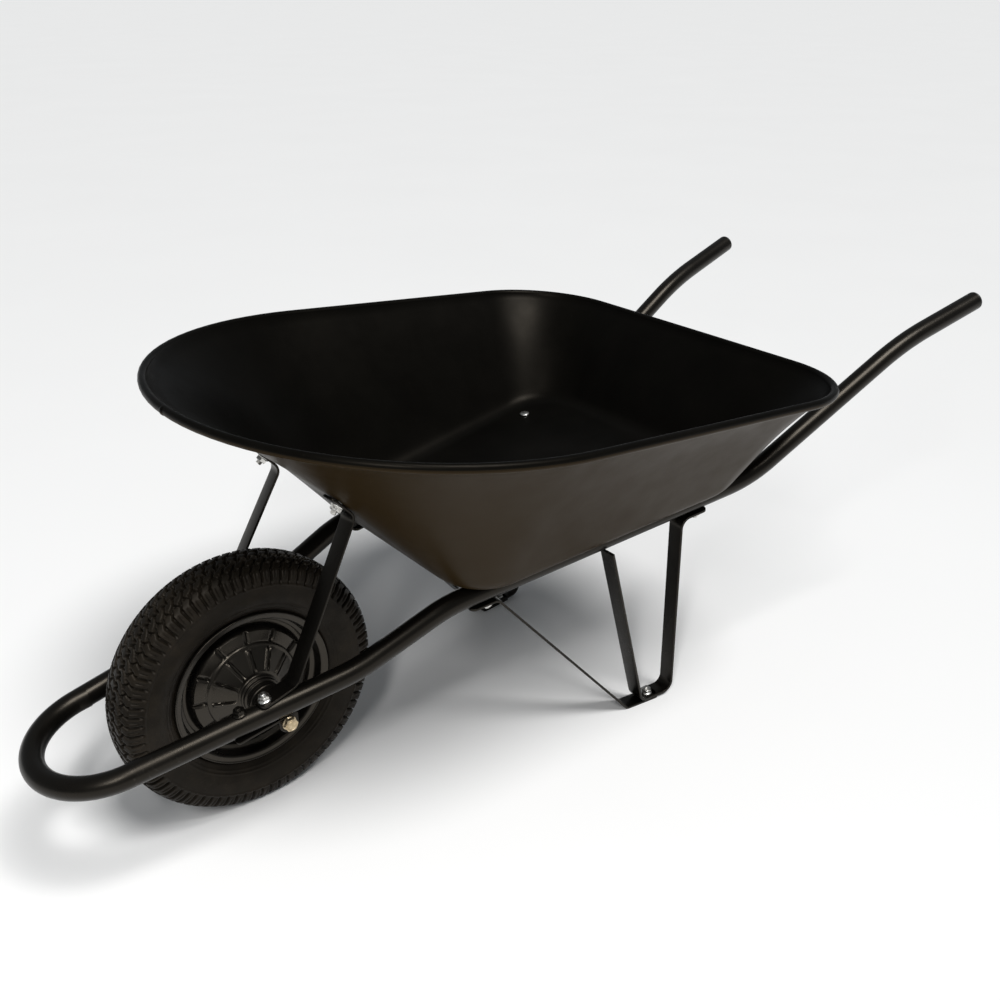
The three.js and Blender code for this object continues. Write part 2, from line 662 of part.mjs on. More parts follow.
function axleBrackets() {
  const frontX = BRACKET_BOLT_X[0] - FLANGE_END;
  const rearX = FLANGE_END;
  const midX = (frontX + rearX) / 2;
  for (const [label, side] of sides) {
    const topZ = noseZ(0) - (TUBE_R + GAP) / Math.cos(nosePitch);
    const flangeY = side * (LUG_Y + LUG_T / 2 - FLANGE_W / 2);
    const flange = new THREE.BoxGeometry((rearX - frontX) / Math.cos(nosePitch), FLANGE_W, BRACKET_T);
    flange.rotateY(-nosePitch);
    flange.translate(midX, flangeY, topZ + NOSE_RISE * midX - BRACKET_T / 2);
    const flangeMid = topZ - WHEEL_R - BRACKET_T / 2;
    const lug = new THREE.Shape();
    lug.absarc(0, 0, LUG_R, Math.PI, 2 * Math.PI, false);
    lug.lineTo(LUG_R, flangeMid + NOSE_RISE * LUG_R);
    lug.lineTo(-LUG_R, flangeMid - NOSE_RISE * LUG_R);
    const plate = new THREE.ExtrudeGeometry(lug, {
      depth: LUG_T, bevelEnabled: false, curveSegments: BOLT_SIDES,
    });
    plate.translate(0, 0, -LUG_T / 2);
    plate.rotateX(Math.PI / 2);
    plate.translate(0, side * LUG_Y, WHEEL_R);
    const boreR = AXLE_R + AXLE_CLEAR;
    const bore = new THREE.CylinderGeometry(boreR, boreR, LUG_T * 2, AXLE_SIDES);
    bore.translate(0, side * LUG_Y, WHEEL_R);
    let body = solid(flange).add(solid(plate)).subtract(solid(bore));
    for (const x of BRACKET_BOLT_X) body = body.subtract(boltHole(bracketBoltSeat(x, side)));
    place(`axle_bracket_${label}`, geometryOf(body), powderCoat());
  }
}

function bracketFasteners() {
  const names = ['front', 'rear'];
  for (const [label, side] of sides) {
    BRACKET_BOLT_X.forEach((x, i) => {
      const holder = bracketBoltSeat(x, side);
      group.add(holder);
      const headZ = -(TUBE_R + BRACKET_T + BRACKET_HEAD_GAP);
      const underNut = i === 0 ? GAP : GAP + BRACE_FOOT.lift + BRACE.thick + GAP;
      const nutZ = TUBE_R + underNut;
      const finish = i === 0 ? powderCoat : plated;
      const bolt = boltGeometry(nutZ + NUT_T + BOLT_TIP - headZ, BRACKET_PAN);
      bolt.rotateX(Math.PI);
      place(`bracket_bolt_${names[i]}_${label}`, bolt, finish(), holder).position.z = headZ;
      place(`bracket_nut_${names[i]}_${label}`, boltNut(), finish(), holder).position.z = nutZ;
    });
  }
}

// ---- front braces ---------------------------------------------------------------------------

const braceHeading = Math.atan2(BRACE_FOOT.y - BRACE_TOP.y, BRACE_TOP.x - BRACE_FOOT.x);
const wallLean = BRACE_TOP.lean; // the brace's top tab, from the horizontal

// The frame of the bolt through the tray's front wall: local Z points out of the tray.
function braceTopFrame(side) {
  const holder = new THREE.Group();
  holder.position.set(BRACE_TOP.x, side * BRACE_TOP.y, BRACE_TOP.z);
  holder.rotation.order = 'ZYX';
  holder.rotation.set(0, Math.PI + wallLean, -side * braceHeading);
  holder.updateMatrix();
  return holder.matrix.clone();
}

function frontBraces() {
  for (const [label, side] of sides) {
    const plane = new THREE.Group();
    plane.position.set(BRACE_FOOT.x, side * BRACE_FOOT.y, 0);
    plane.rotation.z = -side * braceHeading;
    plane.updateMatrix();
    group.add(plane);
    const reach = (BRACE_TOP.x - BRACE_FOOT.x) / Math.cos(braceHeading);
    const lift = (TUBE_R + GAP + BRACE_FOOT.lift + BRACE.thick / 2) / Math.cos(nosePitch);
    const footZ = noseZ(BRACE_FOOT.x) + lift;
    const tab = (d) => [reach - d * Math.cos(wallLean), BRACE_TOP.z + d * Math.sin(wallLean)];
    const corners = [
      [-BRACE_FOOT.front, footZ - BRACE_FOOT.front * NOSE_RISE],
      [BRACE_FOOT.rear, footZ + BRACE_FOOT.rear * NOSE_RISE],
      tab(-BRACE_TOP.below),
      tab(BRACE_TOP.above),
    ];
    const local = new THREE.Matrix4().copy(plane.matrix).invert();
    const foot = local.clone().multiply(bracketBoltSeat(BRACKET_BOLT_X[1], side).matrix);
    const top = local.clone().multiply(braceTopFrame(side));
    const body = cutHoles(solid(bentBar(corners, BRACE)), [foot, top]);
    place(`front_brace_${label}`, geometryOf(body), powderCoat(), plane);

    const holder = new THREE.Group();
    holder.applyMatrix4(braceTopFrame(side));
    group.add(holder);
    const headZ = -(BRACE.thick / 2 + BRACE_WALL_GAP + SHEET + BRACE_HEAD_GAP);
    const nutZ = BRACE.thick / 2 + GAP;
    const bolt = boltGeometry(nutZ + NUT_T + BRACE_TIP - headZ, BRACE_PAN);
    bolt.rotateX(Math.PI);
    place(`brace_bolt_${label}`, bolt, plated(), holder).position.z = headZ;
    place(`brace_nut_${label}`, boltNut(), plated(), holder).position.z = nutZ;
  }
}

// ---- wheel ----------------------------------------------------------------------------------

const mirrored = (half) => [...half, ...half.slice().reverse().map(([r, y]) => [r, -y])];

function tyre() {
  const [toeOut, toeIn] = TYRE_TOE;
  const toe = [[RIM_FLANGE_R + 2 * GAP, toeOut], [BEAD_SEAT_R + GAP, toeOut], [BEAD_SEAT_R + GAP, toeIn]];
  const section = mirrored([...TYRE_TREAD, ...TYRE_SIDEWALL, ...toe, ...TYRE_LINING]);
  place('tyre', turned([...section, section[0]]), rubber());
}

function innerTube() {
  const { r, half, wide, steps } = INNER_TUBE;
  const profile = [];
  for (let i = 0; i <= steps; i += 1) {
    const angle = (2 * Math.PI * (i % steps)) / steps;
    profile.push([r + half * Math.cos(angle), wide * Math.sin(angle)]);
  }
  place('inner_tube', turned(profile), rubber());
}

function wheelRim() {
  const inside = mirrored(RIM_INSIDE.slice().reverse()).map(([r, y]) => [r, -y]);
  const section = [...mirrored(RIM_OUTSIDE), ...inside];
  place('wheel_rim', withValveHole(turned([...section, section[0]])), powderCoat());
}

function wheelDiscs() {
  for (const [label, side] of sides) {
    const neck = [[HUB_R + GAP, DISC_NECK.high], [HUB_R + GAP, DISC_NECK.low]];
    const section = [...DISC_OUTSIDE, ...neck, ...DISC_INSIDE].map(([r, y]) => [r, side * y]);
    const disc = turned([...section, section[0]]);
    place(`wheel_disc_${label}`, side > 0 ? withValveHole(disc) : disc, powderCoat());
  }
}

function hub() {
  const seatR = BEARING_R + GAP;
  const step = HUB_HALF - BEARING_W - BEARING_END_PLAY;
  const section = mirrored([[HUB_R, HUB_HALF], [seatR, HUB_HALF], [seatR, step], [HUB_BORE_R, step]]);
  place('wheel_hub', turned([...section, section[0]], HUB_SIDES), powderCoat());
}

function bearings() {
  for (const [label, side] of sides) {
    const bore = AXLE_R + AXLE_CLEAR;
    const section = [[BEARING_R, HUB_HALF], [BEARING_R, HUB_HALF - BEARING_W],
      [bore, HUB_HALF - BEARING_W], [bore, HUB_HALF]].map(([r, y]) => [r, side * y]);
    place(`wheel_bearing_${label}`, turned([...section, section[0]], HUB_SIDES), plated());
  }
}

function axleParts() {
  const lugOuter = LUG_Y + LUG_T / 2;
  const headY = lugOuter + GAP;
  const axle = boltGeometry(2 * headY + AXLE_HEAD_T + AXLE_TIP, {
    hex: AXLE_HEAD_ACROSS, headHeight: AXLE_HEAD_T, radius: AXLE_R,
  });
  axle.rotateX(Math.PI / 2);
  place('axle_bolt', axle, plated(YELLOW_ZINC)).position.set(0, -headY, WHEEL_R);
  const nut = nutGeometry(AXLE_HEAD_ACROSS, AXLE_HEAD_T, AXLE_R + AXLE_CLEAR);
  nut.rotateX(-Math.PI / 2);
  place('axle_nut', nut, plated(YELLOW_ZINC)).position.set(0, headY, WHEEL_R);
  for (const [label, side] of sides) {
    const ends = [side * (HUB_HALF + GAP), side * (LUG_Y - LUG_T / 2 - GAP)].sort((a, b) => a - b);
    const [low, high] = ends;
    const bore = AXLE_R + AXLE_CLEAR;
    const section = [[SPACER_R, low], [SPACER_R, high], [bore, high], [bore, low], [SPACER_R, low]];
    place(`axle_spacer_${label}`, turned(section, AXLE_SIDES), plated(YELLOW_ZINC));
  }
}

// The valve leans outwards from the tube, through the rim's well and the right disc. Its frame
// has Z along the stem, pointing back at the tyre.
function valveFrame() {
  const around = new THREE.Matrix4().makeRotationY(VALVE.angle);
  const lean = new THREE.Matrix4().makeRotationX(VALVE.lean);
  const root = new THREE.Matrix4().makeTranslation(0, VALVE.y, VALVE.r);
  const centre = new THREE.Matrix4().makeTranslation(0, 0, WHEEL_R);
  return centre.multiply(around).multiply(root).multiply(lean);
}

function withValveHole(geometry) {
  const cutter = post(VALVE_STEM_R + 1, -VALVE.length - 2 * VALVE_CAP.length, 0);
  cutter.applyMatrix4(valveFrame());
  return geometryOf(solid(geometry).subtract(solid(cutter)));
}

function valve() {
  const holder = new THREE.Group();
  holder.applyMatrix4(valveFrame());
  group.add(holder);
  const { length, root } = VALVE;
  place('valve_stem', post(VALVE_STEM_R, -length, -root), rubber(), holder);
  place('valve_cap', post(VALVE_CAP.r, -length - VALVE_CAP.length, -length - GAP), plastic(), holder);
}

// ---- assembly -------------------------------------------------------------------------------

frameTube();
handleCaps();
tray();
legs();
legStraps();
footFasteners();
trayFasteners();
axleBrackets();
bracketFasteners();
frontBraces();
tyre();
innerTube();
wheelRim();
wheelDiscs();
hub();
bearings();
axleParts();
valve();

const box = new THREE.Box3().setFromObject(group);
group.position.x = -(box.min.x + box.max.x) / 2;

export default group;
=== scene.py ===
import math

import bpy
import numpy as np
from mathutils import Matrix, Vector


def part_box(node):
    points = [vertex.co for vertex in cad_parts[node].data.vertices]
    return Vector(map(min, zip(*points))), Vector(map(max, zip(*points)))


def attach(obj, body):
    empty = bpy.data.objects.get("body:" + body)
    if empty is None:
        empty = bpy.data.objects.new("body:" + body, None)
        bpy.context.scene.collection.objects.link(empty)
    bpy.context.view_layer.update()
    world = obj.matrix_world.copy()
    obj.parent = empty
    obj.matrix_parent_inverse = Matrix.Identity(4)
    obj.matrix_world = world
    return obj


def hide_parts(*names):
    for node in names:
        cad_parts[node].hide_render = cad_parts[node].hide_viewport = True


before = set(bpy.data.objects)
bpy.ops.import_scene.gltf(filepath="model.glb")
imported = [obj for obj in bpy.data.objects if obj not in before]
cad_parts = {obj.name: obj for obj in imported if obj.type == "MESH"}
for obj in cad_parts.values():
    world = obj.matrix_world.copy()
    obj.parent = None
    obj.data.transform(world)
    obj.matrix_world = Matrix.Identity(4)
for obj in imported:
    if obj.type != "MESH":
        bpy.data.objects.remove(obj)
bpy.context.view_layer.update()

# The pieces are laid out in millimetres with the wheel's axle over x = 0, as the CAD design is,
# and turned into the frame's metres when a piece is made.

MM = 0.001
TYRE_LOW, TYRE_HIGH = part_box("tyre")
SHIFT_X = (TYRE_LOW[0] + TYRE_HIGH[0]) / 2
SIDES = (("left", -1), ("right", 1))

# ---- driving dimensions, in millimetres ----

GAP = 0.3
TUBE_R = 14.3
TUBE_BORE_R = 12.8
TUBE_SIDES = 48
AXLE_HALF = 112.2
SPLAY = 0.1233
SPLAY_ANGLE = math.atan(SPLAY)
NOSE_CENTRE_X = -176.7
NOSE_RISE = 0.151
NOSE_STEPS = 56
BEND_RADII = (190, 190, 230, 450)
BEND_STEPS = 16
RAMP_FOOT = (94, 214.65)
TRAY_FRONT_BEND = (223, 266.79)
TRAY_REAR_BEND = (722, 327.6)
GRIP_BEND = (1014, 483)
HANDLE_END = (1168, 525)

SHEET = 1.2
BEAD_R = 6
FLOOR = dict(front=236, rear=700, front_half=182, rear_half=236, front_r=60, rear_r=80)
RIM = dict(front=-50, rear=794, front_half=336, rear_half=336, front_r=335.5, rear_r=137)
RIM_Z_AT = (440, 512.6)
RIM_RISE = -0.0864
FLARE = 0.16
FLARE_POWER = 4
FLOOR_BLEND = 22
WALL_START = 0.09
BLEND_STEPS = 7
BEAD_SWEEP = math.radians(318)
BEAD_STEPS = 18
CORNER_STEPS = 22
STRAIGHT_STEPS = 9
WALL_STEPS = 18
TRAY_BOLT_X = (277, 622)

WHEEL_R = 175
HUB_HALF = 80
LUG_Y = 116
LUG_T = 4
LUG_R = 12.8
AXLE_R = 5.6
SPACER_R = 7.3
AXLE_HEAD_T = 6.5
AXLE_HEAD_ACROSS = 16
VALVE = dict(angle=2.2, lean=0.465, r=108, y=2, length=40, foot=4.5, stem_r=3.2, neck=8, neck_r=2.6)
VALVE_CAP = dict(length=9, r=4.1, tip_r=3.2, mouth_r=3.8, groove=0.25, first=1.6, step=0.8, count=8)

LEG = dict(width=26, thick=4, bend=16)
STRAP = dict(width=25, thick=3.6, bend=10)
BRACE = dict(width=24, thick=3.2, bend=14)
BAR_END_R = 8
STRAP_FOOT_R = 6
FOOT_BOLT_X = 558
LEG_FRONT_TURN = 0.1
LEG_FRONT_FOOT = 20
LEG_FRONT_TOP = 94
LEG_FRONT_DROP = 1.6
LEG_REAR_X = 596
LEG_REAR_LEAN = 4
LEG_TAB_END_X = 638
STRAP_TAB_X = (252, 291)
STRAP_KNEE_X = 514
STRAP_END = 15
BRACE_FOOT = dict(x=-22, y=109.5, front=13, rear=38)
BRACE_TOP = dict(x=101.8, y=92.5, z=427.6, below=24, above=22)
BRACE_WALL_GAP = 2.4
BRACE_HEAD_GAP = 1.8
BRACE_FOOT_LIFT = 0.6
WALL_LEAN = 0.8163

BOLT_R = 4
NUT_ACROSS = 13
NUT_T = 6.5
NUT_SKIRT_R = 8.6
PAN_R = 8
PAN_T = 3.2
HEAD_BITE = 0.5
NUT_CLEARANCE = 0.1
THREAD_IN_NUT = 1
THREAD_LENGTH = 4
BRACE_THREAD_LENGTH = 6
BRACE_HEAD_R = 7
BRACKET_HEAD = (6, 2.6)
BRACKET_HEAD_GAP = 0.7
SUNK_HEAD_R = 7.6
BRACKET_BOLT_X = (-54, -22)
BRACKET_T = 3
BRACKET_OVERHANG = 13
BRACKET_HALF_WIDTH = 15
BRACKET_CORNER_R = 5
HANDLE_CAP = dict(head=4, plug=18, slack=0.5, lip=0.3, inset=2.6, edge_r=2.4, crown=0.6)


# ---- node materials ----

class Nodes:
    """A small helper that adds and links shader nodes in one material."""

    def __init__(self, name):
        self.material = bpy.data.materials.new(name)
        self.material.use_nodes = True
        self.tree = self.material.node_tree
        self.shader = self.tree.nodes["Principled BSDF"]
        self.place = self.add("ShaderNodeTexCoord").outputs["Object"]

    def add(self, kind, **settings):
        node = self.tree.nodes.new(kind)
        for key, value in settings.items():
            setattr(node, key, value)
        return node

    def link(self, source, target):
        self.tree.links.new(source, target)

    def noise(self, scale, detail, roughness=0.55):
        node = self.add("ShaderNodeTexNoise")
        node.inputs["Scale"].default_value = scale
        node.inputs["Detail"].default_value = detail
        node.inputs["Roughness"].default_value = roughness
        self.link(self.place, node.inputs["Vector"])
        return node.outputs["Fac"]

    def ramp(self, source, stops):
        node = self.add("ShaderNodeValToRGB")
        elements = node.color_ramp.elements
        while len(elements) < len(stops):
            elements.new(0.5)
        for element, (position, value) in zip(elements, stops):
            element.position = position
            element.color = (value, value, value, 1)
        self.link(source, node.inputs["Fac"])
        return node.outputs["Color"]

    def mix(self, factor, a, b):
        node = self.add("ShaderNodeMix", data_type="RGBA")
        for socket, value in (("Factor", factor), ("A", a), ("B", b)):
            target = next(s for s in node.inputs if s.name == socket and s.type == (
                "VALUE" if socket == "Factor" else "RGBA"))
            if isinstance(value, bpy.types.NodeSocket):
                self.link(value, target)
            else:
                target.default_value = (*value, 1)
        return next(s for s in node.outputs if s.type == "RGBA")

    def bump(self, layers):
        """Chains bump nodes: each layer is (height source, strength, distance in metres)."""
        normal = None
        for source, strength, distance in layers:
            node = self.add("ShaderNodeBump")
            node.inputs["Strength"].default_value = strength
            node.inputs["Distance"].default_value = distance
            self.link(source, node.inputs["Height"])
            if normal is not None:
                self.link(normal, node.inputs["Normal"])
            normal = node.outputs["Normal"]
        self.link(normal, self.shader.inputs["Normal"])

    def edges(self, low, high):
        """White on convex edges."""
        pointed = self.add("ShaderNodeNewGeometry").outputs["Pointiness"]
        return self.ramp(pointed, ((low, 0.0), (high, 1.0)))

    def colour(self, source):
        self.link(source, self.shader.inputs["Base Color"])

    def roughness(self, scale, detail, low, high):
        """Roughness that varies with a noise; low and high are (noise level, roughness)."""
        self.link(self.ramp(self.noise(scale, detail), (low, high)), self.shader.inputs["Roughness"])

    def set(self, **values):
        for key, value in values.items():
            self.shader.inputs[key.replace("_", " ")].default_value = value


# Ramp stops are (noise level, output).
PATCHES = ((0.35, 0.0), (0.7, 1.0))
DUST_SPECKS = ((0.68, 0.0), (0.78, 0.7))
CHIPS = ((0.6, 0.0), (0.7, 1.0))
CHIP_EDGES = (0.6, 0.72)
CHIP_COLOUR = (0.05, 0.046, 0.042)
COAT_GLOSS = (1, 0.88, 0.72, 1)
# The height of a face's direction at which the painted reflection on faces that look down begins and is full:
# a brown colour that stands in for warm light reflected onto them.
PAINTED_REFLECTION_FACING = (0.1, -0.25)

TARNISH = ((0.42, 0.0), (0.68, 1.0))
RUBBER_DUST = ((0.45, 0.0), (0.8, 0.6))
RUBBER_SPECKS = ((0.6, 0.0), (0.78, 0.5))
RUBBER_EDGES = (0.53, 0.62)
RUBBER_GLOSS = (1, 0.9, 0.78, 1)


def powder_coat(name, dark, pale, rough, grain, wave, dust, sheen, painted_reflection=None):
    """Black coat with dust and chips; faces that look down can get a brown colour of their own, a painted
    warm reflection.
    """
    n = Nodes(name)
    colour = n.mix(n.ramp(n.noise(9, 4), PATCHES), dark, pale)
    # Faces that look down get the brown painted reflection in place of the coat's colour.
    if painted_reflection:
        facing = n.add("ShaderNodeSeparateXYZ")
        n.link(n.add("ShaderNodeNewGeometry").outputs["True Normal"], facing.inputs["Vector"])
        painted_reflection_mask = n.add("ShaderNodeMapRange")
        painted_reflection_mask.inputs["From Min"].default_value, painted_reflection_mask.inputs["From Max"].default_value = PAINTED_REFLECTION_FACING
        n.link(facing.outputs["Z"], painted_reflection_mask.inputs["Value"])
        colour = n.mix(painted_reflection_mask.outputs["Result"], colour, painted_reflection)
    colour = n.mix(n.ramp(n.noise(420, 2), DUST_SPECKS), colour, dust)
    chips = n.add("ShaderNodeMath", operation="MULTIPLY")
    n.link(n.edges(*CHIP_EDGES), chips.inputs[0])
    n.link(n.ramp(n.noise(240, 4), CHIPS), chips.inputs[1])
    n.colour(n.mix(chips.outputs[0], colour, CHIP_COLOUR))
    n.set(Specular_IOR_Level=sheen, Specular_Tint=COAT_GLOSS)
    n.roughness(26, 5, (0.3, rough - 0.04), (0.72, rough + 0.05))
    n.bump(((n.noise(14, 2), 0.3, wave), (n.noise(700, 3, 0.6), 0.6, grain)))
    return n.material


def zinc(name, base, tarnish, rough):
    n = Nodes(name)
    n.set(Metallic=1.0)
    n.colour(n.mix(n.ramp(n.noise(180, 5), TARNISH), base, tarnish))
    n.roughness(320, 4, (0.3, rough - 0.1), (0.75, rough + 0.16))
    n.bump(((n.noise(900, 3, 0.6), 0.4, 0.00008),))
    return n.material


def tyre_rubber(name, clean, dusty, speck, worn):
    n = Nodes(name)
    colour = n.mix(n.ramp(n.noise(34, 6, 0.65), RUBBER_DUST), clean, dusty)
    colour = n.mix(n.ramp(n.noise(520, 3), RUBBER_SPECKS), colour, speck)
    n.colour(n.mix(n.edges(*RUBBER_EDGES), colour, worn))
    n.roughness(60, 5, (0.3, 0.36), (0.75, 0.6))
    n.set(Specular_IOR_Level=0.12, Specular_Tint=RUBBER_GLOSS)
    n.bump(((n.noise(90, 5), 0.35, 0.0004), (n.noise(1100, 3, 0.6), 0.5, 0.00012)))
    return n.material


def moulded(name, dark, pale, rough):
    n = Nodes(name)
    n.colour(n.mix(n.ramp(n.noise(40, 4), PATCHES), dark, pale))
    n.roughness(90, 4, (0.3, rough - 0.08), (0.7, rough + 0.1))
    n.bump(((n.noise(1500, 3, 0.7), 0.5, 0.0001),))
    return n.material


LOOKS = {
    "tray_coat": powder_coat(
        "tray_coat", dark=(0.0016, 0.0015, 0.0012), pale=(0.003, 0.0027, 0.0022), rough=0.36,
        grain=0.00006, wave=0.0007, dust=(0.008, 0.007, 0.0055), sheen=0.06,
        # The brown given to faces that look down is a painted warm reflection, not a colour of the coat.
        painted_reflection=(0.022, 0.0135, 0.0048)),
    "frame_coat": powder_coat(
        "frame_coat", dark=(0.0015, 0.0014, 0.0012), pale=(0.003, 0.0027, 0.0023), rough=0.3,
        grain=0.00012, wave=0.0003, dust=(0.009, 0.008, 0.0065), sheen=0.25),
    "wheel_paint": powder_coat(
        "wheel_paint", dark=(0.003, 0.0028, 0.0025), pale=(0.006, 0.0053, 0.0045), rough=0.3,
        grain=0.00003, wave=0.0002, dust=(0.012, 0.0105, 0.009), sheen=0.45),
    "zinc_steel": zinc("zinc_steel", base=(0.72, 0.71, 0.68), tarnish=(0.42, 0.41, 0.38), rough=0.3),
    "axle_steel": zinc("axle_steel", base=(0.56, 0.46, 0.31), tarnish=(0.36, 0.28, 0.17), rough=0.34),
    "bearing_steel": zinc("bearing_steel", base=(0.5, 0.5, 0.5), tarnish=(0.3, 0.29, 0.28), rough=0.35),
    "tyre_rubber": tyre_rubber(
        "tyre_rubber", clean=(0.007, 0.0056, 0.004), dusty=(0.021, 0.016, 0.0105),
        speck=(0.032, 0.025, 0.018), worn=(0.026, 0.021, 0.0155)),
    "tube_rubber": moulded("tube_rubber", dark=(0.02, 0.02, 0.02), pale=(0.032, 0.031, 0.03), rough=0.7),
    "cap_plastic": moulded(
        "cap_plastic", dark=(0.006, 0.006, 0.0058), pale=(0.011, 0.0105, 0.01), rough=0.48),
}


# ---- making pieces ----

def placed(name, data):
    obj = bpy.data.objects.new(name, data)
    bpy.context.scene.collection.objects.link(obj)
    return obj


def piece(name, vertices, faces, slot, body="chassis", smooth=40.0):
    """One mesh piece from layout millimetres, riding on its body in place of its CAD node."""
    mesh = bpy.data.meshes.new(name)
    points = np.asarray(vertices, dtype=float) * MM
    points[:, 0] += SHIFT_X
    mesh.from_pydata(points.tolist(), [], faces)
    mesh.validate()
    mesh.update()
    mesh.materials.append(LOOKS[slot])
    obj = placed(name, mesh)
    # Smooth shading, with a sharp edge wherever two faces meet at more than the angle.
    mesh.shade_smooth()
    mesh.set_sharp_from_angle(angle=math.radians(smooth))
    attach(obj, body)
    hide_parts(name)


def grid_faces(rows, columns, close_rows=False):
    """Quads of a grid of points stored row by row, each row closed."""
    faces = []
    for i in range(rows if close_rows else rows - 1):
        for j in range(columns):
            a, b = i * columns + j, i * columns + (j + 1) % columns
            below = ((i + 1) % rows) * columns
            faces.append((a, b, below + (j + 1) % columns, below + j))
    return faces


def joined(*parts):
    """Several (vertices, faces) shells as one."""
    vertices, faces = [], []
    for part_vertices, part_faces in parts:
        start = len(vertices)
        vertices.extend([tuple(v) for v in part_vertices])
        faces.extend([tuple(start + i for i in face) for face in part_faces])
    return vertices, faces


def moved(part, matrix):
    vertices, faces = part
    return [tuple(matrix @ Vector(v)) for v in vertices], faces


def lathe(profile, segments):
    """A closed ring or capped solid about Z from (radius, z) points; radius 0 makes a pole."""
    vertices, rings, faces = [], [], []
    for radius, z in profile:
        if radius == 0:
            rings.append([len(vertices)])
            vertices.append((0, 0, z))
            continue
        rings.append(list(range(len(vertices), len(vertices) + segments)))
        for k in range(segments):
            angle = 2 * math.pi * k / segments
            vertices.append((radius * math.cos(angle), radius * math.sin(angle), z))
    pairs = list(zip(rings, rings[1:]))
    if profile[0][0] > 0:
        pairs.append((rings[-1], rings[0]))
    for low, high in pairs:
        for k in range(segments):
            after = (k + 1) % segments
            if len(low) == 1:
                faces.append((low[0], high[k], high[after])[::-1])
            elif len(high) == 1:
                faces.append((low[k], low[after], high[0]))
            else:
                faces.append((low[k], low[after], high[after], high[k]))
    return vertices, faces


TO_Y = Matrix.Rotation(-math.pi / 2, 4, "X")  # turns +Z into +Y
AT_AXLE = Matrix.Translation((0, 0, WHEEL_R)) @ TO_Y
ARC_STEPS = 8
CORNER_SHARE = 0.45  # a rounded corner takes at most this much of each side


def quarter_turn():
    """Angles from nought to a right angle, for a rounded edge."""
    return [math.pi / 2 * k / ARC_STEPS for k in range(ARC_STEPS + 1)]


def mirrored(half):
    """A half section in (radius, y) with its mirror image after it."""
    return half + [(r, -y) for r, y in reversed(half) if y]


def rounded(points, radius, steps=4, closed=True):
    """A 2-D outline with each corner cut back to a small arc."""
    out = []
    count = len(points)
    for i, point in enumerate(points):
        if not closed and i in (0, count - 1):
            out.append(tuple(point))
            continue
        here = Vector(point)
        before = Vector(points[i - 1]) - here
        after = Vector(points[(i + 1) % count]) - here
        reach = min(radius, before.length * CORNER_SHARE, after.length * CORNER_SHARE)
        a = here + before.normalized() * reach
        b = here + after.normalized() * reach
        for k in range(steps + 1):
            t = k / steps
            out.append(tuple(a * (1 - t) ** 2 + here * (2 * t * (1 - t)) + b * t ** 2))
    return out


# ---- frame tube ----

def line_through(a, b):
    return lambda x: a[1] + (b[1] - a[1]) * (x - a[0]) / (b[0] - a[0])


def nose_z(x):
    return RAMP_FOOT[1] + NOSE_RISE * (x - RAMP_FOOT[0])


under_tray_z = line_through(TRAY_FRONT_BEND, TRAY_REAR_BEND)
TRAY_PITCH = math.atan2(TRAY_REAR_BEND[1] - TRAY_FRONT_BEND[1], TRAY_REAR_BEND[0] - TRAY_FRONT_BEND[0])
NOSE_PITCH = math.atan(NOSE_RISE)


def half_spacing(x):
    return AXLE_HALF + SPLAY * x


NOSE_R = half_spacing(NOSE_CENTRE_X) * math.cos(SPLAY_ANGLE)


def rounded_run(corners, bends, steps):
    """Points and directions along a run of corners, each turned with its own bend radius."""
    corners = [Vector(c) for c in corners]
    stations = [(corners[0], (corners[1] - corners[0]).normalized())]
    for before, here, after, bend in zip(corners, corners[1:], corners[2:], bends):
        into = (here - before).normalized()
        away = (after - here).normalized()
        turn = into.angle(away)
        if turn < 1e-5:
            continue
        across = (away - into * math.cos(turn)).normalized()
        start = here - into * bend * math.tan(turn / 2)
        for k in range(steps + 1):
            swept = turn * k / steps
            point = start + into * bend * math.sin(swept) + across * bend * (1 - math.cos(swept))
            stations.append((point, into * math.cos(swept) + across * math.sin(swept)))
    stations.append((corners[-1], (corners[-1] - corners[-2]).normalized()))
    return stations


def side_stations(side):
    start_x = NOSE_CENTRE_X - NOSE_R * math.sin(SPLAY_ANGLE)
    bends = ((start_x, nose_z(start_x)), RAMP_FOOT, TRAY_FRONT_BEND, TRAY_REAR_BEND, GRIP_BEND, HANDLE_END)
    return rounded_run([(x, side * half_spacing(x), z) for x, z in bends], BEND_RADII, BEND_STEPS)


def nose_stations():
    stations = []
    half = math.pi / 2 + SPLAY_ANGLE
    for k in range(1, NOSE_STEPS):
        angle = -half + 2 * half * k / NOSE_STEPS
        x = NOSE_CENTRE_X - NOSE_R * math.cos(angle)
        dx = NOSE_R * math.sin(angle)
        direction = Vector((dx, NOSE_R * math.cos(angle), NOSE_RISE * dx)).normalized()
        stations.append((Vector((x, NOSE_R * math.sin(angle), nose_z(x))), direction))
    return stations


def swept_tube(stations, outer, inner, count):
    """A tube wall swept along stations, closed by a ring at each end."""
    side_axis = stations[0][1].orthogonal().normalized()
    rings = {outer: [], inner: []}
    for point, direction in stations:
        side_axis = (side_axis - direction * side_axis.dot(direction)).normalized()
        up_axis = direction.cross(side_axis)
        for radius, ring in rings.items():
            for k in range(count):
                angle = 2 * math.pi * k / count
                beside = point + side_axis * radius * math.cos(angle)
                ring.append(tuple(beside + up_axis * radius * math.sin(angle)))
    rows = len(stations)
    vertices = rings[outer] + rings[inner]
    outside = grid_faces(rows, count)
    inside = [tuple(i + rows * count for i in face)[::-1] for face in outside]
    ends = []
    for row, flip in ((0, True), (rows - 1, False)):
        for k in range(count):
            a, b = row * count + k, row * count + (k + 1) % count
            face = (a, b, b + rows * count, a + rows * count)
            ends.append(face[::-1] if flip else face)
    return vertices, outside + inside + ends


def frame_tube():
    left = [(point, -direction) for point, direction in reversed(side_stations(-1))]
    stations = left + nose_stations() + side_stations(1)
    piece("frame_tube", *swept_tube(stations, TUBE_R, TUBE_BORE_R, TUBE_SIDES), "frame_coat")


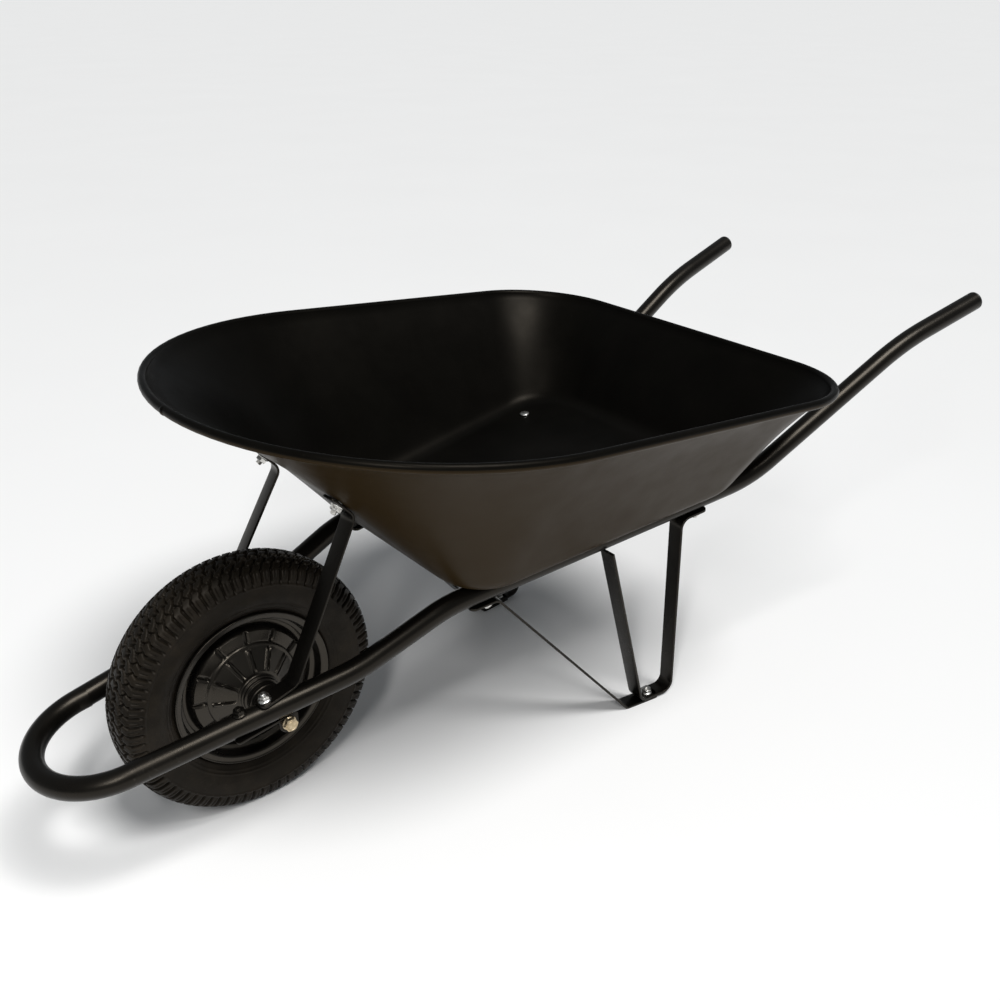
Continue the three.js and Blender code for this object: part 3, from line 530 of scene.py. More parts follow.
def handle_caps():
    """Plugs pushed into the tube's ends, each with a round-edged head outside."""
    plug_r, plug_end = TUBE_BORE_R - HANDLE_CAP["slack"], -HANDLE_CAP["plug"]
    profile = [(0, plug_end), (plug_r, plug_end), (plug_r, GAP), (TUBE_R - HANDLE_CAP["lip"], GAP)]
    for angle in quarter_turn():
        profile.append((TUBE_R - HANDLE_CAP["inset"] + HANDLE_CAP["edge_r"] * math.cos(angle),
                        HANDLE_CAP["head"] - HANDLE_CAP["edge_r"] * (1 - math.sin(angle))))
    profile.append((0, HANDLE_CAP["head"] + HANDLE_CAP["crown"]))
    for label, side in SIDES:
        point, direction = side_stations(side)[-1]
        turn = Vector((0, 0, 1)).rotation_difference(direction).to_matrix().to_4x4()
        part = moved(lathe(profile, 40), Matrix.Translation(point) @ turn)
        piece(f"handle_cap_{label}", *part, "cap_plastic")


# ---- tray ----

def tray_floor_z(x):
    return under_tray_z(x) + (TUBE_R + GAP) / math.cos(TRAY_PITCH)


def rim_z(x):
    return RIM_Z_AT[1] + RIM_RISE * (x - RIM_Z_AT[0])


def outline(front, rear, front_half, rear_half, front_r, rear_r):
    """Plan points round a trapezoid with rounded corners, as many for any size."""
    plan = [Vector((rear, rear_half)), Vector((front, front_half)),
            Vector((front, -front_half)), Vector((rear, -rear_half))]
    radii = [rear_r, front_r, front_r, rear_r]
    loop = []
    for i, here in enumerate(plan):
        following, after_next = plan[(i + 1) % 4], plan[(i + 2) % 4]
        into = (here - plan[i - 1]).normalized()
        away = (following - here).normalized()
        swing = into.angle(away)
        left = Vector((-into.y, into.x))
        radius = radii[i]
        start = here - into * radius * math.tan(swing / 2)
        for k in range(CORNER_STEPS + 1):
            swept = swing * k / CORNER_STEPS
            loop.append(start + into * radius * math.sin(swept) + left * radius * (1 - math.cos(swept)))
        next_swing = away.angle((after_next - following).normalized())
        stop = following - away * radii[(i + 1) % 4] * math.tan(next_swing / 2)
        begin = loop[-1]
        for k in range(1, STRAIGHT_STEPS):
            loop.append(begin.lerp(stop, k / STRAIGHT_STEPS))
    return loop


FLOOR_LOOP = outline(**FLOOR)
RIM_LOOP = outline(**RIM)
FLOOR_MIDDLE_X = (FLOOR["front"] + FLOOR["rear"]) / 2


def wall_point(k, t):
    run = (1 - FLARE) * t + FLARE * t ** FLARE_POWER
    low, high = FLOOR_LOOP[k], RIM_LOOP[k]
    floor = tray_floor_z(low.x)
    plan = low.lerp(high, run)
    return Vector((plan.x, plan.y, floor + (rim_z(high.x) - floor) * t))


def tray_section(k):
    """One section from the floor's edge up the outside, round the bead and down the inside."""
    edge = wall_point(k, 0)
    inward = (Vector((FLOOR_MIDDLE_X, 0, edge.z)) - edge).normalized()
    inset = edge + inward * FLOOR_BLEND
    inset.z = tray_floor_z(inset.x)
    rise = wall_point(k, WALL_START)
    outer = [inset]
    for i in range(1, BLEND_STEPS):
        s = i / BLEND_STEPS
        outer.append(inset * (1 - s) ** 2 + edge * (2 * s * (1 - s)) + rise * s ** 2)
    for i in range(WALL_STEPS + 1):
        outer.append(wall_point(k, WALL_START + (1 - WALL_START) * i / WALL_STEPS))
    radial = wall_point(k, 1) - edge
    radial.z = 0
    radial.normalize()
    inner = []
    for i, point in enumerate(outer):
        along = outer[min(i + 1, len(outer) - 1)] - outer[max(i - 1, 0)]
        slope = math.atan2(along.z, along.dot(radial))
        inner.append(point - radial * SHEET * math.sin(slope) + Vector((0, 0, SHEET * math.cos(slope))))
    inner[0].z = tray_floor_z(inner[0].x) + SHEET
    bead = []
    for i in range(BEAD_STEPS + 1):
        angle = math.pi - BEAD_SWEEP * i / BEAD_STEPS
        lift = Vector((0, 0, BEAD_R * math.sin(angle)))
        bead.append(inner[-1] + radial * BEAD_R * (1 + math.cos(angle)) + lift)
    return outer[:-1] + bead[::-1] + inner[-2::-1]


def tray():
    sections = [tray_section(k) for k in range(len(FLOOR_LOOP))]
    count, rows = len(sections), len(sections[0])
    vertices = [tuple(sections[k][row]) for row in range(rows) for k in range(count)]
    faces = grid_faces(rows, count)
    bottom, top = len(vertices), len(vertices) + 1
    middle_z = tray_floor_z(FLOOR_MIDDLE_X)
    vertices += [(FLOOR_MIDDLE_X, 0, middle_z), (FLOOR_MIDDLE_X, 0, middle_z + SHEET)]
    last = (rows - 1) * count
    for k in range(count):
        after = (k + 1) % count
        faces.append((bottom, after, k))
        faces.append((top, last + k, last + after))
    piece("tray", vertices, faces, "tray_coat", smooth=50)


# ---- bent flat bar ----

BAR_STEPS = 8
EASE_STEPS = 3
EASE_R = 0.9
EASE_SHARE = 0.3
NARROWEST_HALF = 1.2


def bent_bar(corners, width, thick, bend, place, round_end, round_start=0.0):
    """A flat bar with eased edges. corners are (u, z); place turns (u, v, z) into the layout."""
    stations = rounded_run([(u, 0, z) for u, z in corners], [bend] * len(corners), BAR_STEPS)
    ends = []
    for index, radius, sign in ((0, round_start, 1), (-1, round_end, -1)):
        point, direction = stations[index]
        ends.append([(point + direction * sign * radius * (1 - math.cos(angle)), direction,
                      radius * (1 - math.sin(angle))) for angle in quarter_turn()])
    middle = [(p, d, 0.0) for p, d in stations[1:-1]]
    run = ends[0] + middle + ends[1][::-1]
    ease = min(EASE_R, thick * EASE_SHARE)
    half_w, half_t = width / 2, thick / 2
    rings = []
    for point, direction, inset in run:
        normal = Vector((-direction.z, 0, direction.x))
        w = half_w - min(inset, half_w - NARROWEST_HALF)
        box = [(-w, -half_t), (w, -half_t), (w, half_t), (-w, half_t)]
        for v, h in rounded(box, ease, EASE_STEPS):
            rings.append(tuple(place @ (point + normal * h + Vector((0, v, 0)))))
    count = len(rings) // len(run)
    faces = grid_faces(len(run), count)
    faces.append(tuple(range(count))[::-1])
    faces.append(tuple(range(len(rings) - count, len(rings))))
    return rings, faces


def tube_plane(side):
    """u runs along one side's tube in plan, v across it and z up."""
    return Matrix.Translation((0, side * AXLE_HALF, 0)) @ Matrix.Rotation(side * SPLAY_ANGLE, 4, "Z")


def along(x):
    return x / math.cos(SPLAY_ANGLE)


def underside_z(x):
    return under_tray_z(x) - (TUBE_R + GAP) / math.cos(TRAY_PITCH)


FOOT_U = along(FOOT_BOLT_X)
LEG_FOOT_Z = STRAP["thick"] + GAP + LEG["thick"] / 2


def legs():
    for label, side in SIDES:
        rear_top = LEG_REAR_X - LEG_REAR_LEAN
        tab_z = {x: underside_z(x) - LEG["thick"] / 2 for x in (rear_top, LEG_TAB_END_X)}
        rear = bent_bar([(FOOT_U - LEG["width"] / 2, LEG_FOOT_Z), (along(LEG_REAR_X), LEG_FOOT_Z),
                         (along(rear_top), tab_z[rear_top]), (along(LEG_TAB_END_X), tab_z[LEG_TAB_END_X])],
                        **LEG, place=tube_plane(side), round_start=BAR_END_R, round_end=BAR_END_R)
        turned = (tube_plane(side) @ Matrix.Translation((FOOT_U, 0, 0))
                  @ Matrix.Rotation(-side * LEG_FRONT_TURN, 4, "Z"))
        top_x = FOOT_BOLT_X - LEG_FRONT_TOP * math.cos(SPLAY_ANGLE - LEG_FRONT_TURN)
        front = bent_bar([(-LEG_FRONT_TOP, underside_z(top_x) - LEG_FRONT_DROP),
                          (-LEG_FRONT_FOOT, LEG_FOOT_Z), (LEG["width"] / 2, LEG_FOOT_Z)],
                         **LEG, place=turned, round_end=BAR_END_R)
        piece(f"leg_{label}", *joined(rear, front), "frame_coat")


def leg_straps():
    for label, side in SIDES:
        tab_z = {x: underside_z(x) - STRAP["thick"] / 2 for x in STRAP_TAB_X}
        front, rear = STRAP_TAB_X
        corners = [(FOOT_U + STRAP_END, STRAP["thick"] / 2), (along(STRAP_KNEE_X), STRAP["thick"] / 2),
                   (along(rear), tab_z[rear]), (along(front), tab_z[front])]
        part = bent_bar(corners, **STRAP, place=tube_plane(side), round_start=STRAP_FOOT_R,
                        round_end=BAR_END_R)
        piece(f"leg_strap_{label}", *part, "frame_coat")


BRACE_HEADING = math.atan2(BRACE_FOOT["y"] - BRACE_TOP["y"], BRACE_TOP["x"] - BRACE_FOOT["x"])


def brace_top_frame(side):
    """Local Z points out of the tray along the wall bolt."""
    place = Matrix.Translation((BRACE_TOP["x"], side * BRACE_TOP["y"], BRACE_TOP["z"]))
    heading = Matrix.Rotation(-side * BRACE_HEADING, 4, "Z")
    return place @ heading @ Matrix.Rotation(math.pi + WALL_LEAN, 4, "Y")


def front_braces():
    for label, side in SIDES:
        place = (Matrix.Translation((BRACE_FOOT["x"], side * BRACE_FOOT["y"], 0))
                 @ Matrix.Rotation(-side * BRACE_HEADING, 4, "Z"))
        reach = (BRACE_TOP["x"] - BRACE_FOOT["x"]) / math.cos(BRACE_HEADING)
        lift = (TUBE_R + GAP + BRACE_FOOT_LIFT + BRACE["thick"] / 2) / math.cos(NOSE_PITCH)
        foot_z = nose_z(BRACE_FOOT["x"]) + lift
        tab = [(reach - d * math.cos(WALL_LEAN), BRACE_TOP["z"] + d * math.sin(WALL_LEAN))
               for d in (-BRACE_TOP["below"], BRACE_TOP["above"])]
        corners = [(-BRACE_FOOT["front"], foot_z - BRACE_FOOT["front"] * NOSE_RISE),
                   (BRACE_FOOT["rear"], foot_z + BRACE_FOOT["rear"] * NOSE_RISE), *tab]
        part = bent_bar(corners, **BRACE, place=place, round_start=BAR_END_R, round_end=BAR_END_R)
        piece(f"front_brace_{label}", *part, "frame_coat")


# ---- axle brackets ----

PLATE_EASE = 0.5
LUG_POINTS = 25


def plate(points, thickness, place):
    """A flat plate from a plan outline, with eased edges."""
    outer = list(points)
    centre = Vector((sum(p[0] for p in outer) / len(outer), sum(p[1] for p in outer) / len(outer)))
    half = thickness / 2
    levels = ((-half, PLATE_EASE), (-half + PLATE_EASE, 0), (half - PLATE_EASE, 0), (half, PLATE_EASE))
    vertices = []
    for z, inset in levels:
        for x, y in outer:
            toward = centre - Vector((x, y))
            step = toward.normalized() * inset
            vertices.append(tuple(place @ Vector((x + step.x, y + step.y, z))))
    count = len(outer)
    faces = grid_faces(len(levels), count)
    faces.append(tuple(range(count))[::-1])
    faces.append(tuple(range(count * (len(levels) - 1), count * len(levels))))
    return vertices, faces


def axle_brackets():
    front, rear = BRACKET_BOLT_X[0] - BRACKET_OVERHANG, BRACKET_OVERHANG
    middle, half_width = (front + rear) / 2, BRACKET_HALF_WIDTH
    top = nose_z(0) - (TUBE_R + GAP) / math.cos(NOSE_PITCH)
    reach = (rear - front) / math.cos(NOSE_PITCH) / 2
    flange = rounded([(-reach, -half_width), (reach, -half_width), (reach, half_width), (-reach, half_width)],
                     BRACKET_CORNER_R, 6)
    flange_mid = top - WHEEL_R - BRACKET_T / 2
    lug = [(LUG_R * math.cos(a), LUG_R * math.sin(a)) for a in np.linspace(math.pi, 2 * math.pi, LUG_POINTS)]
    lug += [(LUG_R, flange_mid + NOSE_RISE * LUG_R), (-LUG_R, flange_mid - NOSE_RISE * LUG_R)]
    for label, side in SIDES:
        pose = (Matrix.Translation((middle, side * (LUG_Y + LUG_T / 2 - half_width),
                                    top + NOSE_RISE * middle - BRACKET_T / 2))
                @ Matrix.Rotation(-NOSE_PITCH, 4, "Y"))
        upright = Matrix.Translation((0, side * LUG_Y, WHEEL_R)) @ Matrix.Rotation(math.pi / 2, 4, "X")
        part = joined(plate(flange, BRACKET_T, pose), plate(lug, LUG_T, upright))
        piece(f"axle_bracket_{label}", *part, "frame_coat")


# ---- fasteners ----

HEX_STEPS = 48
SKIRT_T = 1.2
BEVEL = 0.5
CHAMFER_SLOPE = 0.55
FACE_SHARE = 0.97
THREAD = dict(pitch=1.25, depth=0.45, tip=0.5)
DOME = dict(ease=0.3, ease_z=0.35, base=0.5, power=0.8)


def hexagon(across, height, skirt_r, hole=0.0):
    """A hexagon with chamfered corners on a thin round skirt, from z = 0 up."""
    apothem = across / 2
    shape = []
    for k in range(HEX_STEPS):
        angle = 2 * math.pi * k / HEX_STEPS
        reach = apothem / math.cos((angle % (math.pi / 3)) - math.pi / 6)
        excess = reach - apothem
        shoulder = height - excess * CHAMFER_SLOPE
        column = [(apothem * FACE_SHARE, height), (reach - excess * 0.02, shoulder - BEVEL / 2),
                  (reach, shoulder - BEVEL), (reach, SKIRT_T * 1.5), (skirt_r * FACE_SHARE, SKIRT_T * 0.75),
                  (skirt_r, SKIRT_T * 0.4), (skirt_r, 0)]
        if hole:
            column += [(hole, 0), (hole, height)]
        shape.append([(r * math.cos(angle), r * math.sin(angle), z) for r, z in column])
    rows = len(shape[0])
    vertices = [shape[k][row] for row in range(rows) for k in range(HEX_STEPS)]
    faces = [face[::-1] for face in grid_faces(rows, HEX_STEPS, close_rows=bool(hole))]
    if not hole:
        faces.append(tuple(range(HEX_STEPS)))
        faces.append(tuple(range((rows - 1) * HEX_STEPS, rows * HEX_STEPS))[::-1])
    return vertices, faces


def threaded(radius, length):
    """A bolt end from z = 0 up, with rolled ridges and a small chamfer at the top."""
    pitch, root_r = THREAD["pitch"], radius - THREAD["depth"]
    turns = max(2, int(length / pitch))
    profile = [(0, 0)]
    for k in range(turns):
        profile += [(root_r, k * pitch), (radius, (k + 0.5) * pitch)]
    end = turns * pitch
    tip = end + THREAD["tip"]
    return lathe(profile + [(root_r, end), (root_r - THREAD["depth"], tip), (0, tip)], 24)


def domed(radius, height):
    """A low round head with a soft edge, from z = 0 up."""
    profile = [(0, 0), (radius - DOME["ease"], 0), (radius, DOME["ease_z"])]
    for angle in quarter_turn()[1:-1]:
        profile.append((radius * math.cos(angle) ** DOME["power"],
                        DOME["base"] + (height - DOME["base"]) * math.sin(angle)))
    return lathe(profile + [(0, height)], 40)


def rod(low, high, radius=BOLT_R, segments=24):
    return lathe([(0, low), (radius, low), (radius, high), (0, high)], segments)


def nut():
    return hexagon(NUT_ACROSS, NUT_T, NUT_SKIRT_R, BOLT_R + NUT_CLEARANCE)


def lifted(z):
    return Matrix.Translation((0, 0, z))


def turned_over(z):
    """Upside down, with the base at a height."""
    return Matrix.Translation((0, 0, z)) @ Matrix.Rotation(math.pi, 4, "X")


def seat(x, side, z, pitch):
    return Matrix.Translation((x, side * half_spacing(x), z)) @ Matrix.Rotation(-pitch, 4, "Y")


def tray_fasteners():
    for label, side in SIDES:
        for where, x, bar in (("front", TRAY_BOLT_X[0], STRAP), ("rear", TRAY_BOLT_X[1], LEG)):
            place = seat(x, side, under_tray_z(x), TRAY_PITCH)
            head = TUBE_R + GAP + SHEET + GAP
            nut_top = -(TUBE_R + GAP + bar["thick"] + GAP)
            start = nut_top - NUT_T + THREAD_IN_NUT
            bolt = joined(moved(domed(PAN_R, PAN_T), lifted(head)), rod(start, head + HEAD_BITE),
                          moved(threaded(BOLT_R, THREAD_LENGTH), turned_over(start)))
            piece(f"tray_bolt_{where}_{label}", *moved(bolt, place), "zinc_steel")
            piece(f"tray_nut_{where}_{label}", *moved(nut(), place @ turned_over(nut_top)), "zinc_steel")


def thread_start(nut_z, nut_height=NUT_T):
    """Where the ridges begin on a bolt whose nut sits on nut_z: just inside the nut's top."""
    return nut_z + nut_height - THREAD_IN_NUT


def bolt_and_nut(kind, label, place, shank, nut_z, slot, thread=THREAD_LENGTH):
    """A bolt made of its head and shank and a threaded end above, and its nut."""
    end = moved(threaded(BOLT_R, thread), lifted(thread_start(nut_z)))
    piece(f"{kind}_bolt_{label}", *moved(joined(shank, end), place), slot)
    piece(f"{kind}_nut_{label}", *moved(moved(nut(), lifted(nut_z)), place), slot)


def headed_shank(head_z, head_r, head_t, nut_z):
    """A round head that looks down from head_z, with the plain shank above it."""
    return joined(moved(domed(head_r, head_t), turned_over(head_z)),
                  rod(head_z - HEAD_BITE, thread_start(nut_z)))


def bracket_fasteners():
    lifts = {"front": GAP, "rear": 2 * GAP + BRACE_FOOT_LIFT + BRACE["thick"]}
    slots = {"front": "frame_coat", "rear": "zinc_steel"}
    for label, side in SIDES:
        for where, x in zip(lifts, BRACKET_BOLT_X):
            nut_z = TUBE_R + lifts[where]
            shank = headed_shank(-(TUBE_R + BRACKET_T + BRACKET_HEAD_GAP), *BRACKET_HEAD, nut_z)
            place = seat(x, side, nose_z(x), NOSE_PITCH)
            bolt_and_nut("bracket", f"{where}_{label}", place, shank, nut_z, slots[where])


def brace_fasteners():
    half = BRACE["thick"] / 2
    for label, side in SIDES:
        head_z = -(half + BRACE_WALL_GAP + SHEET + BRACE_HEAD_GAP)
        shank = headed_shank(head_z, BRACE_HEAD_R, PAN_T, half + GAP)
        bolt_and_nut("brace", label, brace_top_frame(side), shank, half + GAP, "zinc_steel",
                     BRACE_THREAD_LENGTH)


def foot_fasteners():
    nut_z = LEG_FOOT_Z + LEG["thick"] / 2 + GAP
    start = thread_start(nut_z)
    sunk = lathe([(0, 0), (SUNK_HEAD_R, 0), (BOLT_R, PAN_T), (BOLT_R, start), (0, start)], 32)
    for label, side in SIDES:
        place = tube_plane(side) @ Matrix.Translation((FOOT_U, 0, 0))
        bolt_and_nut("foot", label, place, sunk, nut_z, "zinc_steel")


# ---- wheel ----

TREAD_PITCHES = 78
PITCH_SAMPLES = 12
TREAD_DEPTH = 4.2
TREAD_GROOVES = (-22.5, -8.0, 8.0, 22.5)
TREAD_EDGE = 34
GROOVE_WALL = (0.5, 0.7)
ROW_FADE = (0.4, 2.6)
STAGGER = 0.25
ZIGZAG = dict(swing=2.6, slope=1.9, width=2.2)
CROSS_CUT = dict(width=2.3, skew=0.16, skew_run=3.0)
LUG_CUT = dict(start=(31, 34), stop=(47, 55), turn=0.22, width=3.2, depth=0.95)
LUG_SLIT = dict(start=(33, 36), stop=(44, 50), width=1.0, depth=0.35)

# Sections in (radius, y); a half section ends or starts at y = 0 or is mirrored across it.
TYRE_HALF = [(WHEEL_R, 0), (174.2, 12), (171.5, 23), (166, 31.5), (158, 36), (150, 37.6), (140, 38),
             (128, 36.6), (117, 32.5), (109.5, 27.6), (107.2, 25.4)]
TYRE_SECTION_POINTS = 90
TYRE_MIDDLE_R = 140
TYRE_LINING = [(106.6, 24.4), (98.9, 24.4), (98.9, 15.5), (104, 15.5), (112, 24), (128, 30.5),
               (150, 31.5), (162, 26), (166.5, 10)]
# Raised rings on the sidewall: radius, height, half width of the top, half width of the foot.
SIDEWALL_RINGS = ((147.5, 0.9, 0.6, 1.8), (119.5, 0.7, 0.4, 1.3), (115, 0.5, 0.4, 1.1))
SIDEWALL_START = 40
INNER_TUBE = dict(r=133, half_height=26, half_width=23, points=24)
RIM_HALF = [(88, 11), (93.6, 13), (95, 16), (96.4, 26), (98.2, 28), (103.4, 28.8), (104.8, 30),
            (106, 29.4), (106.2, 27), (104.6, 25), (98.6, 25), (98.6, 14), (90, 10)]
DISC_FACE = [(87.7, 5), (82.5, 5), (80, 8), (78, 15.5), (63, 19.5), (60.5, 23), (57.5, 23.5),
             (30, 39.5), (27, 39.5), (26, 41), (22.4, 41)]
DISC_BACK = [(22.4, 38), (26, 37), (57, 20), (60, 16), (74, 11), (77, 3), (87.7, 2)]
DISC_STEP = 3
DISC_EDGE_R = 1.6
RIM_EDGE_R = 1.3
HUB_EDGE_R = 0.8
DISC_CONE = ((30, 33), (55, 57.5))
DISC_BAND = ((62, 64), (76, 78.5))
SECTORS = 12
SECTOR_SAMPLES = 40
RIB = dict(height=1.9, offset=3.4, top=1.2, foot=2.4)
SLOT = dict(depth=2.6, floor=1.0, mouth=2.0)
BLOCK = dict(height=1.5, foot=2.4, top=4.4)
FACET_SHARE = 0.58
HUB_PROFILE = [(13, 68.4), (16.3, 68.4), (16.3, 80), (21, 80), (22, 79), (22, 62), (23, 61), (23, 57),
               (22, 56), (22, 50), (24.6, 49), (24.6, 45.5), (26.6, 44.5), (26.6, 42.2), (22, 42), (22, 0)]
BEARING_SECTION = [(16, 69), (16, 80), (13.8, 80), (13.4, 79.2), (9.4, 79.2), (9, 80), (6, 80), (6, 69)]
# The axle head's end: (radius, height over the hexagon).
AXLE_CROWN = ((7.4, 0), (7.1, 0.45), (6.6, 0.5), (6.2, 0.1), (5.6, 0.1), (5.2, 0.5), (0, 0.6))
AXLE_HEAD_SKIRT_R = 9.4
AXLE_NUT_SKIRT_R = 10.3
AXLE_THREAD_LENGTH = 5
SPACER_CLEARANCE = 0.2
SPACER_EDGE_R = 0.5


def arc_length(points):
    steps = np.hypot(*np.diff(points, axis=0).T)
    return np.concatenate(([0], np.cumsum(steps)))


def smoothstep(low, high, value):
    t = np.clip((value - low) / (high - low), 0, 1)
    return t * t * (3 - 2 * t)


def spline(points, count):
    """Evenly spaced points on a smooth curve through the given ones."""
    points = np.asarray(points, dtype=float)
    dense = []
    padded = np.vstack((2 * points[0] - points[1], points, 2 * points[-1] - points[-2]))
    for a, b, c, d in zip(padded, padded[1:], padded[2:], padded[3:]):
        for t in np.linspace(0, 1, 24, endpoint=False):
            dense.append(0.5 * (2 * b + (c - a) * t + (2 * a - 5 * b + 4 * c - d) * t ** 2
                                + (3 * b - a - 3 * c + d) * t ** 3))
    dense.append(points[-1])
    dense = np.array(dense)
    length = arc_length(dense)
    at = np.linspace(0, length[-1], count)
    return np.column_stack([np.interp(at, length, dense[:, i]) for i in range(2)])


def within(value, start, stop):
    """One between two soft edges, each given as (from, to), and nought outside them."""
    return smoothstep(*start, value) * (1 - smoothstep(*stop, value))


def groove(distance, width, depth):
    low, high = width / 2 - GROOVE_WALL[0], width / 2 + GROOVE_WALL[1]
    return depth * (1 - smoothstep(low, high, distance))


def tread_cut(across, around):
    """How deep the tread is cut at a place: across the crown in mm, around in pitches."""
    cut = np.zeros(np.broadcast(across, around).shape)
    pitch_mm = 2 * math.pi * WHEEL_R / TREAD_PITCHES
    # Circumferential zig-zag grooves between the rows of blocks.
    for row, centre in enumerate(TREAD_GROOVES):
        wave = 4 * np.abs((around + STAGGER * row) % 1 - 0.5) - 1
        path = centre + ZIGZAG["swing"] * np.clip(ZIGZAG["slope"] * wave, -1, 1)
        cut = np.maximum(cut, groove(np.abs(across - path), ZIGZAG["width"], TREAD_DEPTH))
    # Cross grooves, staggered from row to row and slightly skewed.
    edges = (-TREAD_EDGE, *TREAD_GROOVES, TREAD_EDGE)
    near, far = ROW_FADE
    for row, (low, high) in enumerate(zip(edges, edges[1:])):
        inside = within(across, (low - far, low - near), (high + near, high + far))
        skew = CROSS_CUT["skew"] * np.clip((across - (low + high) / 2) / CROSS_CUT["skew_run"], -1, 1)
        phase = (around + STAGGER * row + skew + 0.5 * (row % 2)) % 1
        distance = np.abs(phase - 0.5) * pitch_mm
        cut = np.maximum(cut, inside * groove(distance, CROSS_CUT["width"], TREAD_DEPTH))
    # Shoulder lugs, cut right out to the edge, each with a thin slit.
    out = np.abs(across)
    phase = (around + LUG_CUT["turn"] * np.sign(across)) % 1
    from_cut, from_slit = np.abs(phase - 0.5) * pitch_mm, np.minimum(phase, 1 - phase) * pitch_mm
    for distance, kind in ((from_cut, LUG_CUT), (from_slit, LUG_SLIT)):
        depth = TREAD_DEPTH * kind["depth"]
        edge = within(out, kind["start"], kind["stop"])
        cut = np.maximum(cut, edge * groove(distance, kind["width"], depth))
    return cut


def around_axle(radius, y, columns):
    """Vertices of a grid of radii and y places, turned about the axle."""
    angle = 2 * math.pi * np.arange(columns) / columns
    x = radius * np.cos(angle)
    z = radius * np.sin(angle) + WHEEL_R
    return np.stack((x, y, z), axis=2).reshape(-1, 3)


def tyre():
    half = spline(TYRE_HALF, TYRE_SECTION_POINTS)
    outside = np.vstack((half[::-1] * (1, -1), half[1:]))
    radius = outside[:, 0]
    across = arc_length(outside)
    across = across - across[-1] / 2
    tangent = np.gradient(outside, axis=0)
    normal = np.column_stack((tangent[:, 1], -tangent[:, 0]))
    normal /= np.linalg.norm(normal, axis=1)[:, None]
    # Outward is away from the middle of the section.
    leaving = normal[:, 0] * (radius - TYRE_MIDDLE_R) + normal[:, 1] * outside[:, 1]
    normal *= np.sign(leaving)[:, None]
    columns = TREAD_PITCHES * PITCH_SAMPLES
    around = np.arange(columns) / PITCH_SAMPLES
    raised = np.zeros(len(outside))
    for ring_r, height, top, foot in SIDEWALL_RINGS:
        raised += height * (1 - smoothstep(top, foot, np.abs(radius - ring_r)))
    raised[np.abs(across) < SIDEWALL_START] = 0
    offset = raised[:, None] - tread_cut(across[:, None], around[None, :])
    shell = outside[:, None, :] + normal[:, None, :] * offset[:, :, None]
    lining = np.repeat(np.array(mirrored(TYRE_LINING))[:, None, :], columns, axis=1)
    rows = np.concatenate((shell, lining))
    vertices = around_axle(rows[:, :, 0], rows[:, :, 1], columns)
    faces = grid_faces(len(rows), columns, close_rows=True)
    piece("tyre", vertices, [f[::-1] for f in faces], "tyre_rubber", body="wheel", smooth=60)


def wheel_ring(name, profile, slot, segments):
    """A turned wheel piece; its profile is (radius, y) points round a closed section."""
    points = list(profile)
    area = sum(a[0] * b[1] - b[0] * a[1] for a, b in zip(points, points[1:] + points[:1]))
    if area < 0:
        points.reverse()
    piece(name, *moved(lathe(points, segments), AT_AXLE), slot, body="wheel")


def inner_tube():
    angles = np.linspace(0, 2 * math.pi, INNER_TUBE["points"], endpoint=False)
    ring = [(INNER_TUBE["r"] + INNER_TUBE["half_height"] * math.cos(a),
             INNER_TUBE["half_width"] * math.sin(a)) for a in angles]
    wheel_ring("inner_tube", ring, "tube_rubber", segments=64)


def wheel_rim():
    wheel_ring("wheel_rim", rounded(mirrored(RIM_HALF), RIM_EDGE_R), "wheel_paint", segments=192)


def ribbed_disc(label, side):
    """The dished centre: a rolled outer band of raised blocks and a cone of slotted facets."""
    face = rounded(DISC_FACE, DISC_EDGE_R, 3, closed=False)
    dense = [face[0]]
    for a, b in zip(face, face[1:]):
        pieces = max(1, int(math.dist(a, b) / DISC_STEP))
        dense += [tuple(Vector(a).lerp(Vector(b), k / pieces)) for k in range(1, pieces + 1)]
    section = np.array(dense + DISC_BACK)
    columns = SECTORS * SECTOR_SAMPLES
    phase = (np.arange(columns) / columns * SECTORS) % 1
    front = (np.arange(len(section)) < len(dense))[:, None]
    radius = section[:, 0][:, None]
    from_slot = np.minimum(phase, 1 - phase)[None, :] * radius * 2 * math.pi / SECTORS
    cone, band = within(radius, *DISC_CONE), within(radius, *DISC_BAND)
    beside = np.abs(from_slot - RIB["offset"])
    rib = RIB["height"] * (1 - smoothstep(RIB["top"], RIB["foot"], beside)) * (phase < 0.5) * cone
    slot = SLOT["depth"] * (1 - smoothstep(SLOT["floor"], SLOT["mouth"], from_slot)) * np.maximum(cone, band)
    # Each sector of the cone is a flat facet: it stands out from the cone towards its edges.
    turn = (phase[None, :] - 0.5) * 2 * math.pi / SECTORS
    facet = FACET_SHARE * radius * (1 - np.cos(turn)) * cone
    block = BLOCK["height"] * smoothstep(BLOCK["foot"], BLOCK["top"], from_slot) * band
    y = side * (section[:, 1][:, None] + (rib + facet + block - slot) * front)
    faces = grid_faces(len(section), columns, close_rows=True)
    if side > 0:
        faces = [f[::-1] for f in faces]
    vertices = around_axle(radius, y, columns)
    piece(f"wheel_disc_{label}", vertices, faces, "wheel_paint", body="wheel", smooth=32)


def hub():
    wheel_ring("wheel_hub", rounded(mirrored(HUB_PROFILE), HUB_EDGE_R, 3), "wheel_paint", segments=96)


def bearings():
    for label, side in SIDES:
        section = [(r, side * y) for r, y in BEARING_SECTION]
        wheel_ring(f"wheel_bearing_{label}", section, "bearing_steel", segments=64)


